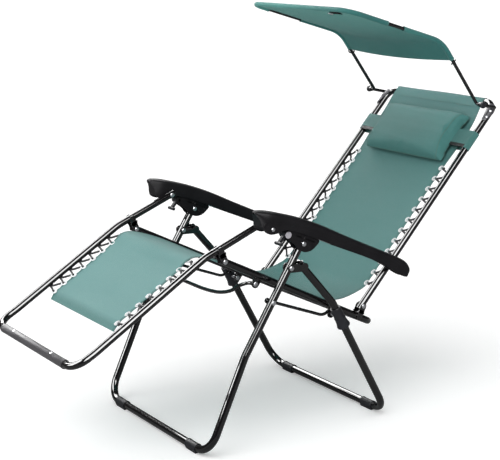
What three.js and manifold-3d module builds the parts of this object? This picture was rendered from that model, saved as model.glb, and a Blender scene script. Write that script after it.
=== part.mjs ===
// A folding sun lounger with a tilting canopy: bent steel tube frames joined by pivots, a laced cloth sling,
// moulded arms that slide through locks on the front legs, and a shade carried by the back.
// Units are millimetres. x runs from the foot end to the head end, y across, z up, floor at zero.
import * as THREE from "three";
import { mergeVertices } from "three/addons/utils/BufferGeometryUtils.js";
import Module from "manifold-3d";

const wasm = await Module();
wasm.setup();

// Tubes, rods and plates
const legTubeRadius = 11;
const frameTubeRadius = 10;
const canopyTubeRadius = 5;
const rodRadius = 4.5;
const cordRadius = 1.6;
const plateThickness = 2.5;
const rivetRadius = 4;
const rivetHeadRadius = 7;
const rivetHeadHeight = 2;
const fitGap = 0.3;
const drillGap = 0.5;
const overrun = 5;
const legTopReach = 6.5;

// Half widths, from the middle plane to the centre of each tube
const seatHalfWidth = 247;
const legOutset = 43;
const linkOutset = 21;
const armOutset = 16;
const canopyInset = 3;
const lacingGap = 43;
const pillowInset = 6;
const legHalfWidth = seatHalfWidth + legOutset;
const linkHalfWidth = seatHalfWidth + linkOutset;
const armInnerFace = seatHalfWidth + armOutset;
const canopyHalfWidth = seatHalfWidth - canopyInset;
const slingHalfWidth = seatHalfWidth - lacingGap;
const pillowHalfWidth = slingHalfWidth - pillowInset;

// Side view of the legs
const legHinge = { x: 262, z: 498 };
const lockReach = 75;
const linkPivotDrop = 106;
const frontLegBend = { x: 117, z: 270 };
const frontBarX = 0;
const rearLegTop = { x: 298, z: 505 };
const rearLegBend = { x: 410, z: 377 };
const rearBarX = 609;
const footCapWall = 2.5;
const footCapLength = 52;
const legCornerRadius = 58;
const legBendRadius = 90;

// Side view of the seat, back, footrest and arms
const kneePivot = { x: 77, z: 533 };
const armFrontPivot = { x: 202, z: 622 };
const backPivot = { x: 546, z: 336 };
const seatRear = { x: 592, z: 276 };
const seatCornerRadius = 45;
const backLeanDegrees = 47.6;
const backLength = 744;
const backCornerRadius = 38;
const footrestKnee = { x: 20, z: 549 };
const footrestShin = { x: -309, z: 346 };
const footrestEnd = { x: -370, z: 313 };
const footrestCornerRadius = 45;
const kneeBendRadius = 120;
const tubeEndReach = 12;
const legPlateRadius = 12;
const tabTipRadius = 11;
const tabRootRadius = 14;
const earTipRadius = 10;
const earRootRadius = 17;
const rivetTipShare = 0.8;
const eyeHalfThickness = 2.7;

// Slides on the rear legs, link rods and the bow under the seat
const slideTop = 20;
const slideLength = 66;
const slideWall = 4;
const slideFlare = 4;
const slideFlareLength = 16;
const linkPinDrop = 28;
const seatPinDrop = 56;
const linkElbow = { x: 395, z: 336 };
const linkElbowRadius = 30;
const linkEyeRadius = 8;
const bowPivot = { x: 180, z: 454 };
const bowCrossing = { x: 137, z: 405 };
const bowShoulder = 150;
const bowBendRadius = 34;
const tabThickness = 5;

// Arms and their locks
const armFrontWidth = 54;
const armMiddleWidth = 46;
const armRearWidth = 30;
const armHeight = 46;
const armWall = 4;
const armTipReach = 58;
const armRearReach = 22;
const railWidth = 18;
const railHeight = 9;
const railLift = 6;
const railFront = 14;
const railRear = 205;
const lockCheek = 3;
const lockSideGap = 0.5;
const lockHalfLength = 50;
const lockDrop = 38;
const lockRise = 12;
const lockWebDrop = 4;
const lockWebThickness = 3;
const leverReach = 30;
const leverSlope = 12;
const leverGripRadius = 5;
const leverGripHalfLength = 16;
const leverKnobRadius = 9;
const leverForward = 62;
const leverDrop = 8;

// Canopy
const canopyPivotDrop = 47.1;
const canopyPivotOut = 55.4;
const canopyArm = { x: -143, z: 192 };
const canopyRoof = { x: -342, z: 101 };
const canopyPegRadius = 8;
const canopyElbowRadius = 110;
const canopyCornerRadius = 50;
const canopyBracketWidth = 9;
const canopyBracketDrop = 8;
const canopyBracketLength = 48;
const canopyBracketRadius = 14;
const canopyNoseRadius = 12;
const canopyKnobRadius = 11;
const canopyKnobWidth = 10;
const canopySag = 16;
const canopySagShare = 0.3;
const canopyRearDrop = 70;
const canopyRoofRows = 8;

// Sling, lacing and pillow
const clothThickness = 3;
const slingHang = 10;
const slingDish = 9;
const footSlingStart = 122;
const footSlingEnd = 302;
const backSlingStart = 62;
const hemThickness = 1.5;
const seatSlingKnee = { x: 96, z: 512 };
const seatSlingFront = { x: 200, z: 441 };
const seatSlingLow = { x: 400, z: 356 };
const seatSlingRear = { x: 500, z: 354 };
const footHooks = 8;
const footHookFirst = 22;
const footHookGap = 21;
const footHookPitch = (footSlingEnd - footHookGap - footHookFirst) / (footHooks - 1);
const lacingTurns = 5;
const lacingStartShare = 0.35;
const lacingTurnShare = 0.3;
const pillowDrop = 64;
const pillowLength = 178;
const pillowHigh = backLength - pillowDrop;
const pillowLow = pillowHigh - pillowLength;
const pillowThickness = 66;
const pillowSink = 3;
const pillowRimShare = 0.14;
const pillowCrownShare = 0.82;
const pillowBellyShare = 0.12;
const pillowWaistShare = 0.06;
const strapWidth = 70;
const strapThickness = 2;
const strapRise = 9;
const strapAlong = (pillowLow + pillowHigh) / 2 + strapRise;
const backHooks = 12;
const backHookFirst = 74;
const backHookGap = 10;
const backHookPitch = (pillowLow - backHookGap - backHookFirst) / (backHooks - 1);

// Facets
const tubeSides = 10;
const rodSides = 8;
const cordSides = 5;
const bendRings = 5;
const cornerRings = 6;
const roundSegments = 12;
const rivetSegments = 8;
const clothColumns = 6;
const footClothRows = 4;
const seatClothRows = 20;
const backClothRows = 8;
const pillowRows = 10;
const pillowColumns = 14;
const strapTurns = 6;

const glossBlack = new THREE.MeshStandardMaterial({ color: 0x0c0c0e, roughness: 0.22, metalness: 0.5 });
const mouldedBlack = new THREE.MeshStandardMaterial({ color: 0x1b1b20, roughness: 0.5, metalness: 0 });
const greyPlastic = new THREE.MeshStandardMaterial({ color: 0x84868a, roughness: 0.5, metalness: 0 });
const zincSteel = new THREE.MeshStandardMaterial({ color: 0xb9bcc0, roughness: 0.3, metalness: 1 });
const tealCloth = new THREE.MeshStandardMaterial({ color: 0x5f9189, roughness: 0.9, metalness: 0 });
const blackCord = new THREE.MeshStandardMaterial({ color: 0x15161a, roughness: 0.8, metalness: 0 });

const lounger = new THREE.Group();

function add(name, geometry, finish) {
  const mesh = new THREE.Mesh(geometry, finish);
  mesh.name = name;
  lounger.add(mesh);
}

// Each side: the sitter's left is at negative y
const sides = [
  ["left", -1],
  ["right", 1],
];

// Places in the side view
const spot = (p, y) => new THREE.Vector3(p.x, y, p.z);

function toward(a, b) {
  const span = Math.hypot(b.x - a.x, b.z - a.z);
  return { x: (b.x - a.x) / span, z: (b.z - a.z) / span };
}

const leftOf = (d) => ({ x: -d.z, z: d.x });

function offset(p, d, along, d2 = { x: 0, z: 0 }, across = 0) {
  return { x: p.x + d.x * along + d2.x * across, z: p.z + d.z * along + d2.z * across };
}

const shifted = (p, by) => ({ x: p.x + by.x, z: p.z + by.z });

const frontLegRun = toward(frontLegBend, legHinge);
const lockPivot = offset(legHinge, frontLegRun, lockReach);
const linkPivot = offset(legHinge, frontLegRun, -linkPivotDrop);
const barHeight = legTubeRadius + footCapWall;
const frontBar = { x: frontBarX, z: barHeight };
const rearBar = { x: rearBarX, z: barHeight };
const rearLegRun = toward(rearLegBend, rearBar);
const linkPin = offset(rearLegBend, rearLegRun, linkPinDrop);
const seatPin = offset(rearLegBend, rearLegRun, seatPinDrop);
const crank = { x: armFrontPivot.x - kneePivot.x, z: armFrontPivot.z - kneePivot.z };
const armRearPivot = { x: backPivot.x + crank.x, z: backPivot.z + crank.z };
const seatRun = toward(kneePivot, seatRear);
const backLean = THREE.MathUtils.degToRad(backLeanDegrees);
const backRun = { x: Math.cos(backLean), z: Math.sin(backLean) };
const backFront = leftOf(backRun);
const backTop = offset(backPivot, backRun, backLength);
const canopyPivot = offset(backTop, backRun, -canopyPivotDrop, backFront, canopyPivotOut);
const canopyElbow = shifted(canopyPivot, canopyArm);
const canopyFront = shifted(canopyElbow, canopyRoof);
const armRun = toward(armFrontPivot, armRearPivot);
const armUp = leftOf(armRun);
const armLength = Math.hypot(armRearPivot.x - armFrontPivot.x, armRearPivot.z - armFrontPivot.z);
const footRun = toward(footrestKnee, footrestShin);
const footUp = { x: footRun.z, z: -footRun.x };

// Solids
function bare(geometry) {
  const g = geometry.index ? geometry.toNonIndexed() : geometry.clone();
  const plain = new THREE.BufferGeometry().setAttribute("position", g.getAttribute("position"));
  return mergeVertices(plain, 1e-4);
}

function solid(geometry) {
  const g = bare(geometry);
  const mesh = new wasm.Mesh({
    numProp: 3,
    vertProperties: new Float32Array(g.getAttribute("position").array),
    triVerts: new Uint32Array(g.index.array),
  });
  return new wasm.Manifold(mesh);
}

function geometryOf(manifold) {
  const m = manifold.getMesh();
  const g = new THREE.BufferGeometry();
  g.setAttribute("position", new THREE.BufferAttribute(new Float32Array(m.vertProperties), 3));
  g.setIndex(new THREE.BufferAttribute(new Uint32Array(m.triVerts), 1));
  return g;
}

// A route whose rings stand exactly at its points
class Route extends THREE.Curve {
  constructor(points) {
    super();
    this.points = points;
  }
  ring(u) {
    return Math.round(u * (this.points.length - 1));
  }
  getPoint(t) {
    return this.points[this.ring(t)].clone();
  }
  getPointAt(u) {
    return this.getPoint(u);
  }
  getTangentAt(u) {
    const i = this.ring(u);
    const last = this.points.length - 1;
    const ahead = this.points[Math.min(i + 1, last)].clone().sub(this.points[i]).normalize();
    const behind = this.points[i].clone().sub(this.points[Math.max(i - 1, 0)]).normalize();
    return ahead.add(behind).normalize();
  }
}

// Straight runs joined by round bends, one radius for each inner corner
function bentRoute(corners, radii, rings = bendRings) {
  const points = [corners[0].clone()];
  for (let i = 1; i < corners.length - 1; i++) {
    const back = corners[i - 1].clone().sub(corners[i]).normalize();
    const ahead = corners[i + 1].clone().sub(corners[i]).normalize();
    const turn = Math.PI - back.angleTo(ahead);
    const radius = radii[i - 1];
    const start = corners[i].clone().addScaledVector(back, radius * Math.tan(turn / 2));
    const axis = ahead.clone().cross(back).normalize();
    const centre = back.clone().add(ahead).normalize();
    centre.multiplyScalar(radius / Math.cos(turn / 2)).add(corners[i]);
    const steps = turn > 1 ? rings + 1 : Math.max(2, Math.ceil(rings * turn));
    for (let k = 0; k <= steps; k++) {
      const arm = start.clone().sub(centre).applyAxisAngle(axis, (turn * k) / steps);
      points.push(centre.clone().add(arm));
    }
  }
  points.push(corners[corners.length - 1].clone());
  return points;
}

function roundSection(radius, count) {
  const outline = [];
  for (let i = 0; i < count; i++) {
    const a = (2 * Math.PI * (i + 0.5)) / count;
    outline.push(new THREE.Vector2(radius * Math.cos(a), radius * Math.sin(a)));
  }
  return new THREE.Shape(outline);
}

function tube(points, radius, count) {
  return new THREE.ExtrudeGeometry(roundSection(radius, count), {
    steps: points.length - 1,
    extrudePath: new Route(points),
  });
}

// A mirrored frame: the near half's corners, then the same corners on the far side
function uFrame(half, radii, radius) {
  const far = half.map((p) => new THREE.Vector3(p.x, -p.y, p.z)).reverse();
  return tube(bentRoute([...half, ...far], [...radii, ...radii.slice().reverse()], cornerRings), radius, tubeSides);
}

// A flat plate drawn in the side view, standing between two widths
function plate(outline, yLow, yHigh) {
  const shape = new THREE.Shape(outline.map((p) => new THREE.Vector2(p.x, p.z)));
  const g = new THREE.ExtrudeGeometry(shape, { depth: yHigh - yLow, bevelEnabled: false });
  g.rotateX(Math.PI / 2);
  g.translate(0, yHigh, 0);
  return g;
}

const across = (side, a, b) => (side > 0 ? [a, b] : [-b, -a]);

function sidePlate(outline, side, a, b) {
  const [low, high] = across(side, a, b);
  return plate(outline, low, high);
}

// The outline round two circles
function strapOutline(a, b, radiusA, radiusB = radiusA, steps = roundSegments / 2) {
  const d = toward(a, b);
  const heading = Math.atan2(d.z, d.x);
  const points = [];
  for (const [centre, radius, start] of [
    [a, radiusA, heading + Math.PI / 2],
    [b, radiusB, heading - Math.PI / 2],
  ]) {
    for (let i = 0; i <= steps; i++) {
      const angle = start + (Math.PI * i) / steps;
      points.push({ x: centre.x + radius * Math.cos(angle), z: centre.z + radius * Math.sin(angle) });
    }
  }
  return points;
}

// A round piece turned about a line across the lounger; its profile is [radius, y] pairs from the axis out
function turned(p, side, profile, count = rivetSegments) {
  const g = new THREE.LatheGeometry(
    profile.map(([r, y]) => new THREE.Vector2(r, y)),
    count,
  );
  if (side < 0) g.rotateX(Math.PI);
  g.translate(p.x, 0, p.z);
  return g;
}

// A rivet or bolt from y = a out to y = b, with a head past each end
function rivet(p, side, a, b, radius = rivetRadius, head = rivetHeadRadius) {
  return turned(p, side, [
    [0, a - rivetHeadHeight],
    [head * rivetTipShare, a - rivetHeadHeight],
    [head, a],
    [radius, a],
    [radius, b],
    [head, b],
    [head * rivetTipShare, b + rivetHeadHeight],
    [0, b + rivetHeadHeight],
  ]);
}

function drill(p, radius = rivetRadius + drillGap) {
  const reach = legHalfWidth + legHalfWidth;
  const g = new THREE.CylinderGeometry(radius, radius, 2 * reach, roundSegments);
  g.translate(p.x, 0, p.z);
  return solid(g);
}

// The radius at which a faceted bore clears a round of the given radius
const boreFor = (radius) => (radius + fitGap) / Math.cos(Math.PI / roundSegments);

const union = (parts) => parts.reduce((a, b) => a.add(b));

// Legs
function frontLegs() {
  const top = offset(lockPivot, frontLegRun, legTopReach);
  const half = [top, frontLegBend, frontBar].map((p) => spot(p, -legHalfWidth));
  const frame = solid(uFrame(half, [legBendRadius, legCornerRadius], legTubeRadius));
  const drilled = [lockPivot, legHinge, linkPivot].reduce((s, p) => s.subtract(drill(p)), frame);
  add("front_leg_frame", geometryOf(drilled), glossBlack);
}

function rearLegs() {
  const half = [rearLegTop, rearLegBend, rearBar].map((p) => spot(p, -legHalfWidth));
  add("rear_leg_frame", uFrame(half, [legBendRadius, legCornerRadius], legTubeRadius), glossBlack);
}

// A hinge bracket: two plates that straddle the front leg and grip the rear leg's top
function legBracket(name, side) {
  const run = toward(rearLegTop, rearLegBend);
  const grip = offset(rearLegTop, run, legPlateRadius);
  const inner = legTubeRadius + fitGap;
  const outer = inner + plateThickness;
  const outline = strapOutline(legHinge, grip, legPlateRadius);
  const cap = strapOutline(
    offset(rearLegTop, run, -legPlateRadius / 2 - fitGap),
    offset(rearLegTop, run, -legPlateRadius / 2),
    legPlateRadius / 2,
  );
  const parts = [
    sidePlate(outline, side, legHalfWidth - outer, legHalfWidth - inner),
    sidePlate(outline, side, legHalfWidth + inner, legHalfWidth + outer),
    sidePlate(cap, side, legHalfWidth - outer, legHalfWidth + outer),
  ].map(solid);
  add(name, geometryOf(union(parts).subtract(drill(legHinge))), glossBlack);
}

function legRivet(name, side) {
  const reach = legTubeRadius + fitGap + plateThickness + fitGap;
  add(name, rivet(legHinge, side, legHalfWidth - reach, legHalfWidth + reach), zincSteel);
}

// A plastic sleeve round the floor bar, flat underneath
function footCap(name, bar, side) {
  const outer = legTubeRadius + footCapWall;
  const bore = boreFor(legTubeRadius);
  const half = footCapLength / 2;
  const centre = legHalfWidth - legCornerRadius - half;
  const ring = new THREE.LatheGeometry(
    [
      [bore, -half],
      [outer, -half],
      [outer, half],
      [bore, half],
      [bore, -half],
    ].map(([r, y]) => new THREE.Vector2(r, y)),
    roundSegments,
    Math.PI / roundSegments,
  );
  ring.translate(bar.x, side * centre, bar.z);
  const sole = new THREE.BoxGeometry(outer, footCapLength, footCapWall);
  sole.translate(bar.x, side * centre, footCapWall / 2);
  const cut = new THREE.CylinderGeometry(bore, bore, footCapLength + overrun, roundSegments, 1, false);
  cut.rotateY(Math.PI / roundSegments);
  cut.translate(bar.x, side * centre, bar.z);
  add(name, geometryOf(solid(ring).add(solid(sole)).subtract(solid(cut))), mouldedBlack);
}

// The slide on the rear leg that carries the seat's pin
function legSlide(name, side) {
  const bore = boreFor(legTubeRadius);
  const outer = bore + slideWall;
  const flare = outer + slideFlare;
  const profile = [
    [bore, slideTop],
    [outer, slideTop],
    [outer, slideTop + slideLength - slideFlareLength],
    [flare, slideTop + slideLength],
    [bore, slideTop + slideLength],
    [bore, slideTop],
  ].map(([r, y]) => new THREE.Vector2(r, y));
  const g = new THREE.LatheGeometry(profile, roundSegments);
  const heading = new THREE.Vector3(rearLegRun.x, 0, rearLegRun.z);
  g.applyQuaternion(new THREE.Quaternion().setFromUnitVectors(new THREE.Vector3(0, 1, 0), heading));
  g.translate(rearLegBend.x, side * legHalfWidth, rearLegBend.z);
  add(name, g, mouldedBlack);
}

// Where a pin that faces the slide ends
const slideSide = () => legHalfWidth - boreFor(legTubeRadius) - slideWall - fitGap;

// The seat's pin, from the slide's wall to the inside of the seat's tab
function seatPinBolt(name, side) {
  const tabInner = seatHalfWidth - tabThickness / 2 - fitGap;
  const wall = slideSide();
  const bolt = turned(seatPin, side, [
    [0, tabInner - rivetHeadHeight],
    [rivetHeadRadius, tabInner - rivetHeadHeight],
    [rivetHeadRadius, tabInner],
    [rivetRadius, tabInner],
    [rivetRadius, wall],
    [0, wall],
  ]);
  add(name, bolt, zincSteel);
}

// A link rod: an eye and rivet on the front leg, a bent rod, and a pin that faces the slide
function linkRod(name, side) {
  const start = offset(linkPivot, toward(linkPivot, linkElbow), linkEyeRadius / 2);
  const end = offset(linkPin, toward(linkPin, linkElbow), linkEyeRadius / 2);
  const corners = [start, linkElbow, end].map((p) => spot(p, side * linkHalfWidth));
  const rod = tube(bentRoute(corners, [linkElbowRadius]), rodRadius, rodSides);
  const eye = [
    [0, linkHalfWidth - eyeHalfThickness],
    [linkEyeRadius, linkHalfWidth - eyeHalfThickness],
    [linkEyeRadius, linkHalfWidth + eyeHalfThickness],
  ];
  const legOuter = legHalfWidth + legTubeRadius + fitGap;
  const frontPin = turned(linkPivot, side, [
    ...eye,
    [rivetRadius, linkHalfWidth + eyeHalfThickness],
    [rivetRadius, legOuter],
    [rivetHeadRadius, legOuter],
    [rivetHeadRadius * rivetTipShare, legOuter + rivetHeadHeight],
    [0, legOuter + rivetHeadHeight],
  ]);
  const slideFace = slideSide();
  const rearPin = turned(linkPin, side, [
    ...eye,
    [rivetRadius, linkHalfWidth + eyeHalfThickness],
    [rivetRadius, slideFace],
    [0, slideFace],
  ]);
  add(name, geometryOf(union([rod, frontPin, rearPin].map(solid))), glossBlack);
}

// Seat frame: a U of tube with a tab under each side for the slide pin and one for the bow rod
function seatFrame() {
  const front = offset(kneePivot, seatRun, -tubeEndReach);
  const half = [spot(front, -seatHalfWidth), spot(seatRear, -seatHalfWidth)];
  const parts = [solid(uFrame(half, [seatCornerRadius], frameTubeRadius))];
  const down = { x: -leftOf(seatRun).x, z: -leftOf(seatRun).z };
  for (const [, side] of sides) {
    for (const pin of [seatPin, bowPivot]) {
      const reach = (pin.x - kneePivot.x) * seatRun.x + (pin.z - kneePivot.z) * seatRun.z;
      const root = offset(kneePivot, seatRun, reach, down, frameTubeRadius / 2);
      const outline = strapOutline(pin, root, tabTipRadius, tabRootRadius);
      const half2 = tabThickness / 2;
      parts.push(solid(sidePlate(outline, side, seatHalfWidth - half2, seatHalfWidth + half2)));
    }
  }
  const drilled = [kneePivot, seatPin, bowPivot].reduce((s, p) => s.subtract(drill(p)), union(parts));
  add("seat_frame", geometryOf(drilled), glossBlack);
}

// The bow rod that spreads the seat's sides and dips under the sling
function bowRod() {
  const y = seatHalfWidth - tabThickness / 2 - fitGap - eyeHalfThickness;
  const middle = { x: (bowPivot.x + bowCrossing.x) / 2, z: (bowPivot.z + bowCrossing.z) / 2 };
  const half = [
    spot(bowPivot, -y + linkEyeRadius / 2),
    spot(middle, -(y + bowShoulder) / 2),
    spot(bowCrossing, -bowShoulder / 2),
  ];
  const far = half.map((p) => new THREE.Vector3(p.x, -p.y, p.z)).reverse();
  const route = bentRoute([...half, ...far], [bowBendRadius, bowBendRadius, bowBendRadius, bowBendRadius]);
  const parts = [solid(tube(route, rodRadius, rodSides))];
  for (const [, side] of sides) {
    const tabOuter = seatHalfWidth + tabThickness / 2 + fitGap;
    const pin = turned(bowPivot, side, [
      [0, y - rodRadius - rivetHeadHeight],
      [linkEyeRadius, y - eyeHalfThickness],
      [linkEyeRadius, y + eyeHalfThickness],
      [rivetRadius, y + eyeHalfThickness],
      [rivetRadius, tabOuter],
      [rivetHeadRadius, tabOuter],
      [rivetHeadRadius * rivetTipShare, tabOuter + rivetHeadHeight],
      [0, tabOuter + rivetHeadHeight],
    ]);
    parts.push(solid(pin));
  }
  add("seat_bow_rod", geometryOf(union(parts)), glossBlack);
}

// A clevis: two ears from one frame's tube to a pivot on the next frame's end
function clevis(name, side, pivot, root, run) {
  const inner = frameTubeRadius + fitGap;
  const outer = inner + plateThickness;
  const outline = strapOutline(pivot, root, earTipRadius, earRootRadius);
  const ears = [
    sidePlate(outline, side, seatHalfWidth - outer, seatHalfWidth - inner),
    sidePlate(outline, side, seatHalfWidth + inner, seatHalfWidth + outer),
  ].map(solid);
  const ride = toward(root, pivot);
  const bridgeRun = offset(root, ride, inner + plateThickness / 2);
  const bridge = strapOutline(
    offset(bridgeRun, run, -legPlateRadius / 2),
    offset(bridgeRun, run, legPlateRadius / 2),
    plateThickness / 2,
  );
  const web = solid(sidePlate(bridge, side, seatHalfWidth - outer, seatHalfWidth + outer));
  add(name, geometryOf(union([...ears, web]).subtract(drill(pivot))), glossBlack);
}

function framePin(name, pivot, side) {
  const reach = frameTubeRadius + fitGap + plateThickness + fitGap;
  add(name, rivet(pivot, side, seatHalfWidth - reach, seatHalfWidth + reach), zincSteel);
}

// Back frame, with a tab behind each side for the arm's rear bolt
function backFrame() {
  const foot = offset(backPivot, backRun, -tubeEndReach);
  const half = [spot(foot, -seatHalfWidth), spot(backTop, -seatHalfWidth)];
  const parts = [solid(uFrame(half, [backCornerRadius], frameTubeRadius))];
  const reach = (armRearPivot.x - backPivot.x) * backRun.x + (armRearPivot.z - backPivot.z) * backRun.z;
  const root = offset(backPivot, backRun, reach);
  for (const [, side] of sides) {
    const outline = strapOutline(armRearPivot, root, tabTipRadius, tabRootRadius);
    const tabOuter = seatHalfWidth + frameTubeRadius;
    parts.push(solid(sidePlate(outline, side, tabOuter - tabThickness, tabOuter)));
  }
  const drilled = [backPivot, armRearPivot].reduce((s, p) => s.subtract(drill(p)), union(parts));
  add("back_frame", geometryOf(drilled), glossBlack);
}

function footrestFrame() {
  const top = offset(armFrontPivot, toward(footrestKnee, armFrontPivot), tubeEndReach);
  const half = [top, footrestKnee, footrestShin, footrestEnd].map((p) => spot(p, -seatHalfWidth));
  const radii = [kneeBendRadius, kneeBendRadius, footrestCornerRadius];
  const frame = solid(uFrame(half, radii, frameTubeRadius)).subtract(drill(armFrontPivot));
  add("footrest_frame", geometryOf(frame), glossBlack);
}

// The knee bracket hangs under the footrest tube and carries the seat's front end
function kneeRoot() {
  const run = toward(footrestKnee, armFrontPivot);
  const reach = (kneePivot.x - footrestKnee.x) * run.x + (kneePivot.z - footrestKnee.z) * run.z;
  return offset(footrestKnee, run, reach);
}

// A smooth cover over the footrest's end bar
function footBarCover() {
  const bore = boreFor(frameTubeRadius);
  const outer = bore + footCapWall;
  const half = seatHalfWidth - footrestCornerRadius - overrun;
  const g = new THREE.LatheGeometry(
    [
      [bore, -half],
      [outer, -half],
      [outer, half],
      [bore, half],
      [bore, -half],
    ].map(([r, y]) => new THREE.Vector2(r, y)),
    roundSegments,
  );
  g.translate(footrestEnd.x, 0, footrestEnd.z);
  add("foot_bar_cover", g, mouldedBlack);
}

// Armrest: a side outline in shares of its length and height, cut by a plan outline, hollow underneath
const armTopShares = [
  [-0.114, 0.26],
  [-0.079, 0.52],
  [0, 0.74],
  [0.138, 0.96],
  [0.295, 1],
  [0.491, 0.9],
  [0.659, 0.83],
  [0.816, 0.78],
  [0.94, 0.72],
  [1, 0.61],
  [1.036, 0.3],
];
const armLowShares = [
  [1.028, -0.2],
  [0.975, -0.24],
  [0.86, 0],
  [0.76, 0.11],
  [0.456, 0.13],
  [0.197, 0.17],
  [0.067, 0.04],
  [0.012, -0.35],
  [-0.055, -0.48],
  [-0.09, -0.17],
];
const armPoint = ([s, h]) => offset(armFrontPivot, armRun, s, armUp, h);
const armScaled = ([s, h]) => [s * armLength, h * armHeight];

function armPlan(side, points) {
  const shape = new THREE.Shape(points.map(([s, y]) => new THREE.Vector2(s, side * y)));
  const g = new THREE.ExtrudeGeometry(shape, { depth: armLength, bevelEnabled: false });
  g.translate(0, 0, -armLength / 2);
  g.rotateY(-Math.atan2(armRun.z, armRun.x));
  g.translate(armFrontPivot.x, 0, armFrontPivot.z);
  return solid(g);
}

function armrest(name, side) {
  const front = -armTipReach - overrun;
  const rear = armLength + armRearReach + overrun;
  const widest = armInnerFace + armFrontWidth;
  const inset = (armFrontWidth - armRearWidth) / 2;
  const outerEdge = (trim) => [
    [rear, armInnerFace + armRearWidth - trim],
    [railRear + overrun, armInnerFace + armMiddleWidth - trim],
    [armTipReach / 2, widest - trim],
    [-armTipReach / 2, widest - trim],
    [front, widest - inset - trim],
  ];
  const outline = [...armTopShares, ...armLowShares].map(armScaled).map(armPoint);
  const plan = armPlan(side, [
    [front, armInnerFace + inset],
    [-armTipReach / 2, armInnerFace],
    [rear, armInnerFace],
    ...outerEdge(0),
  ]);
  const shell = solid(sidePlate(outline, side, armInnerFace, widest)).intersect(plan);
  const innerLow = armInnerFace + armWall;
  const roof = armTopShares.slice(1, -1).map(armScaled).map(([s, h]) => [s, h - armWall]);
  const depth = 2 * armHeight;
  const last = armLength + armRearReach / 2;
  const hollow = [...roof, [last, roof[roof.length - 1][1]], [last, -depth], [roof[0][0], -depth]].map(armPoint);
  const cavityPlan = armPlan(side, [[front, innerLow], [rear, innerLow], ...outerEdge(armWall)]);
  const cavity = solid(sidePlate(hollow, side, innerLow, widest)).intersect(cavityPlan);
  const inboard = solid(sidePlate(outline, side, 0, armInnerFace + 2 * armWall));
  const pivots = drill(armFrontPivot).add(drill(armRearPivot)).intersect(inboard);
  add(name, geometryOf(shell.subtract(cavity).subtract(pivots)), mouldedBlack);
}

// The steel rail under each arm, with a foot at each end up to the arm's roof
function armRail(name, side) {
  const roof = (s) => {
    const top = armTopShares.map(armScaled);
    const i = top.findIndex(([x]) => x > s);
    const [s0, h0] = top[i - 1];
    const [s1, h1] = top[i];
    return THREE.MathUtils.mapLinear(s, s0, s1, h0, h1) - armWall - 3 * fitGap;
  };
  const top = railLift + railHeight;
  const foot = railHeight * 1.5;
  const outline = [
    [railFront, railLift],
    [railRear, railLift],
    [railRear, roof(railRear)],
    [railRear - foot, roof(railRear - foot)],
    [railRear - foot, top],
    [railFront + foot, top],
    [railFront + foot, roof(railFront + foot) - fitGap],
    [railFront, roof(railFront)],
  ].map(armPoint);
  const half = railWidth / 2;
  add(name, sidePlate(outline, side, legHalfWidth - half, legHalfWidth + half), zincSteel);
}

function armFrontBolt(name, side) {
  const inner = seatHalfWidth - frameTubeRadius - fitGap;
  const bolt = rivet(armFrontPivot, side, inner, armInnerFace + armWall + fitGap);
  add(name, bolt, zincSteel);
}

function armRearBolt(name, side) {
  const inner = seatHalfWidth + frameTubeRadius - tabThickness - fitGap;
  const bolt = rivet(armRearPivot, side, inner, armInnerFace + armWall + fitGap);
  add(name, bolt, zincSteel);
}

// Where the lock's pivot and the lever's pivot stand along the arm
const lockAlong = (lockPivot.x - armFrontPivot.x) * armRun.x + (lockPivot.z - armFrontPivot.z) * armRun.z;
const leverPivot = armPoint([lockAlong - leverForward, -leverDrop]);
const lockCheekShares = [
  [-0.6, -0.68],
  [-0.24, -1],
  [0.28, -1],
  [0.68, -0.68],
  [1, 0.1],
];

// The lock housing: two cheeks either side of the front leg's top, joined by a web under the rail
function lockHousing(name, side) {
  const inner = legTubeRadius + lockSideGap;
  const outer = inner + lockCheek;
  const nose = lockAlong - leverForward - leverKnobRadius;
  const webReach = lockHalfLength * 0.68;
  const cheek = [
    [nose, leverKnobRadius - leverDrop],
    [nose, -leverKnobRadius - leverDrop],
    ...lockCheekShares.map(([s, h]) => [lockAlong + s * lockHalfLength, h * lockDrop]),
    [lockAlong + webReach, lockRise],
    [lockAlong - webReach, lockRise],
  ].map(armPoint);
  const web = [
    [lockAlong - webReach, -lockWebDrop],
    [lockAlong + webReach, -lockWebDrop],
    [lockAlong + webReach, lockWebThickness - lockWebDrop],
    [lockAlong - webReach, lockWebThickness - lockWebDrop],
  ].map(armPoint);
  const parts = [
    sidePlate(cheek, side, legHalfWidth - outer, legHalfWidth - inner),
    sidePlate(cheek, side, legHalfWidth + inner, legHalfWidth + outer),
    sidePlate(web, side, legHalfWidth - outer, legHalfWidth + outer),
  ].map(solid);
  const drilled = union(parts).subtract(drill(lockPivot)).subtract(drill(leverPivot));
  add(name, geometryOf(drilled), mouldedBlack);
}

function lockRivet(name, side) {
  const reach = legTubeRadius + lockSideGap + lockCheek + fitGap;
  add(name, rivet(lockPivot, side, legHalfWidth - reach, legHalfWidth + reach), zincSteel);
}

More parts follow.
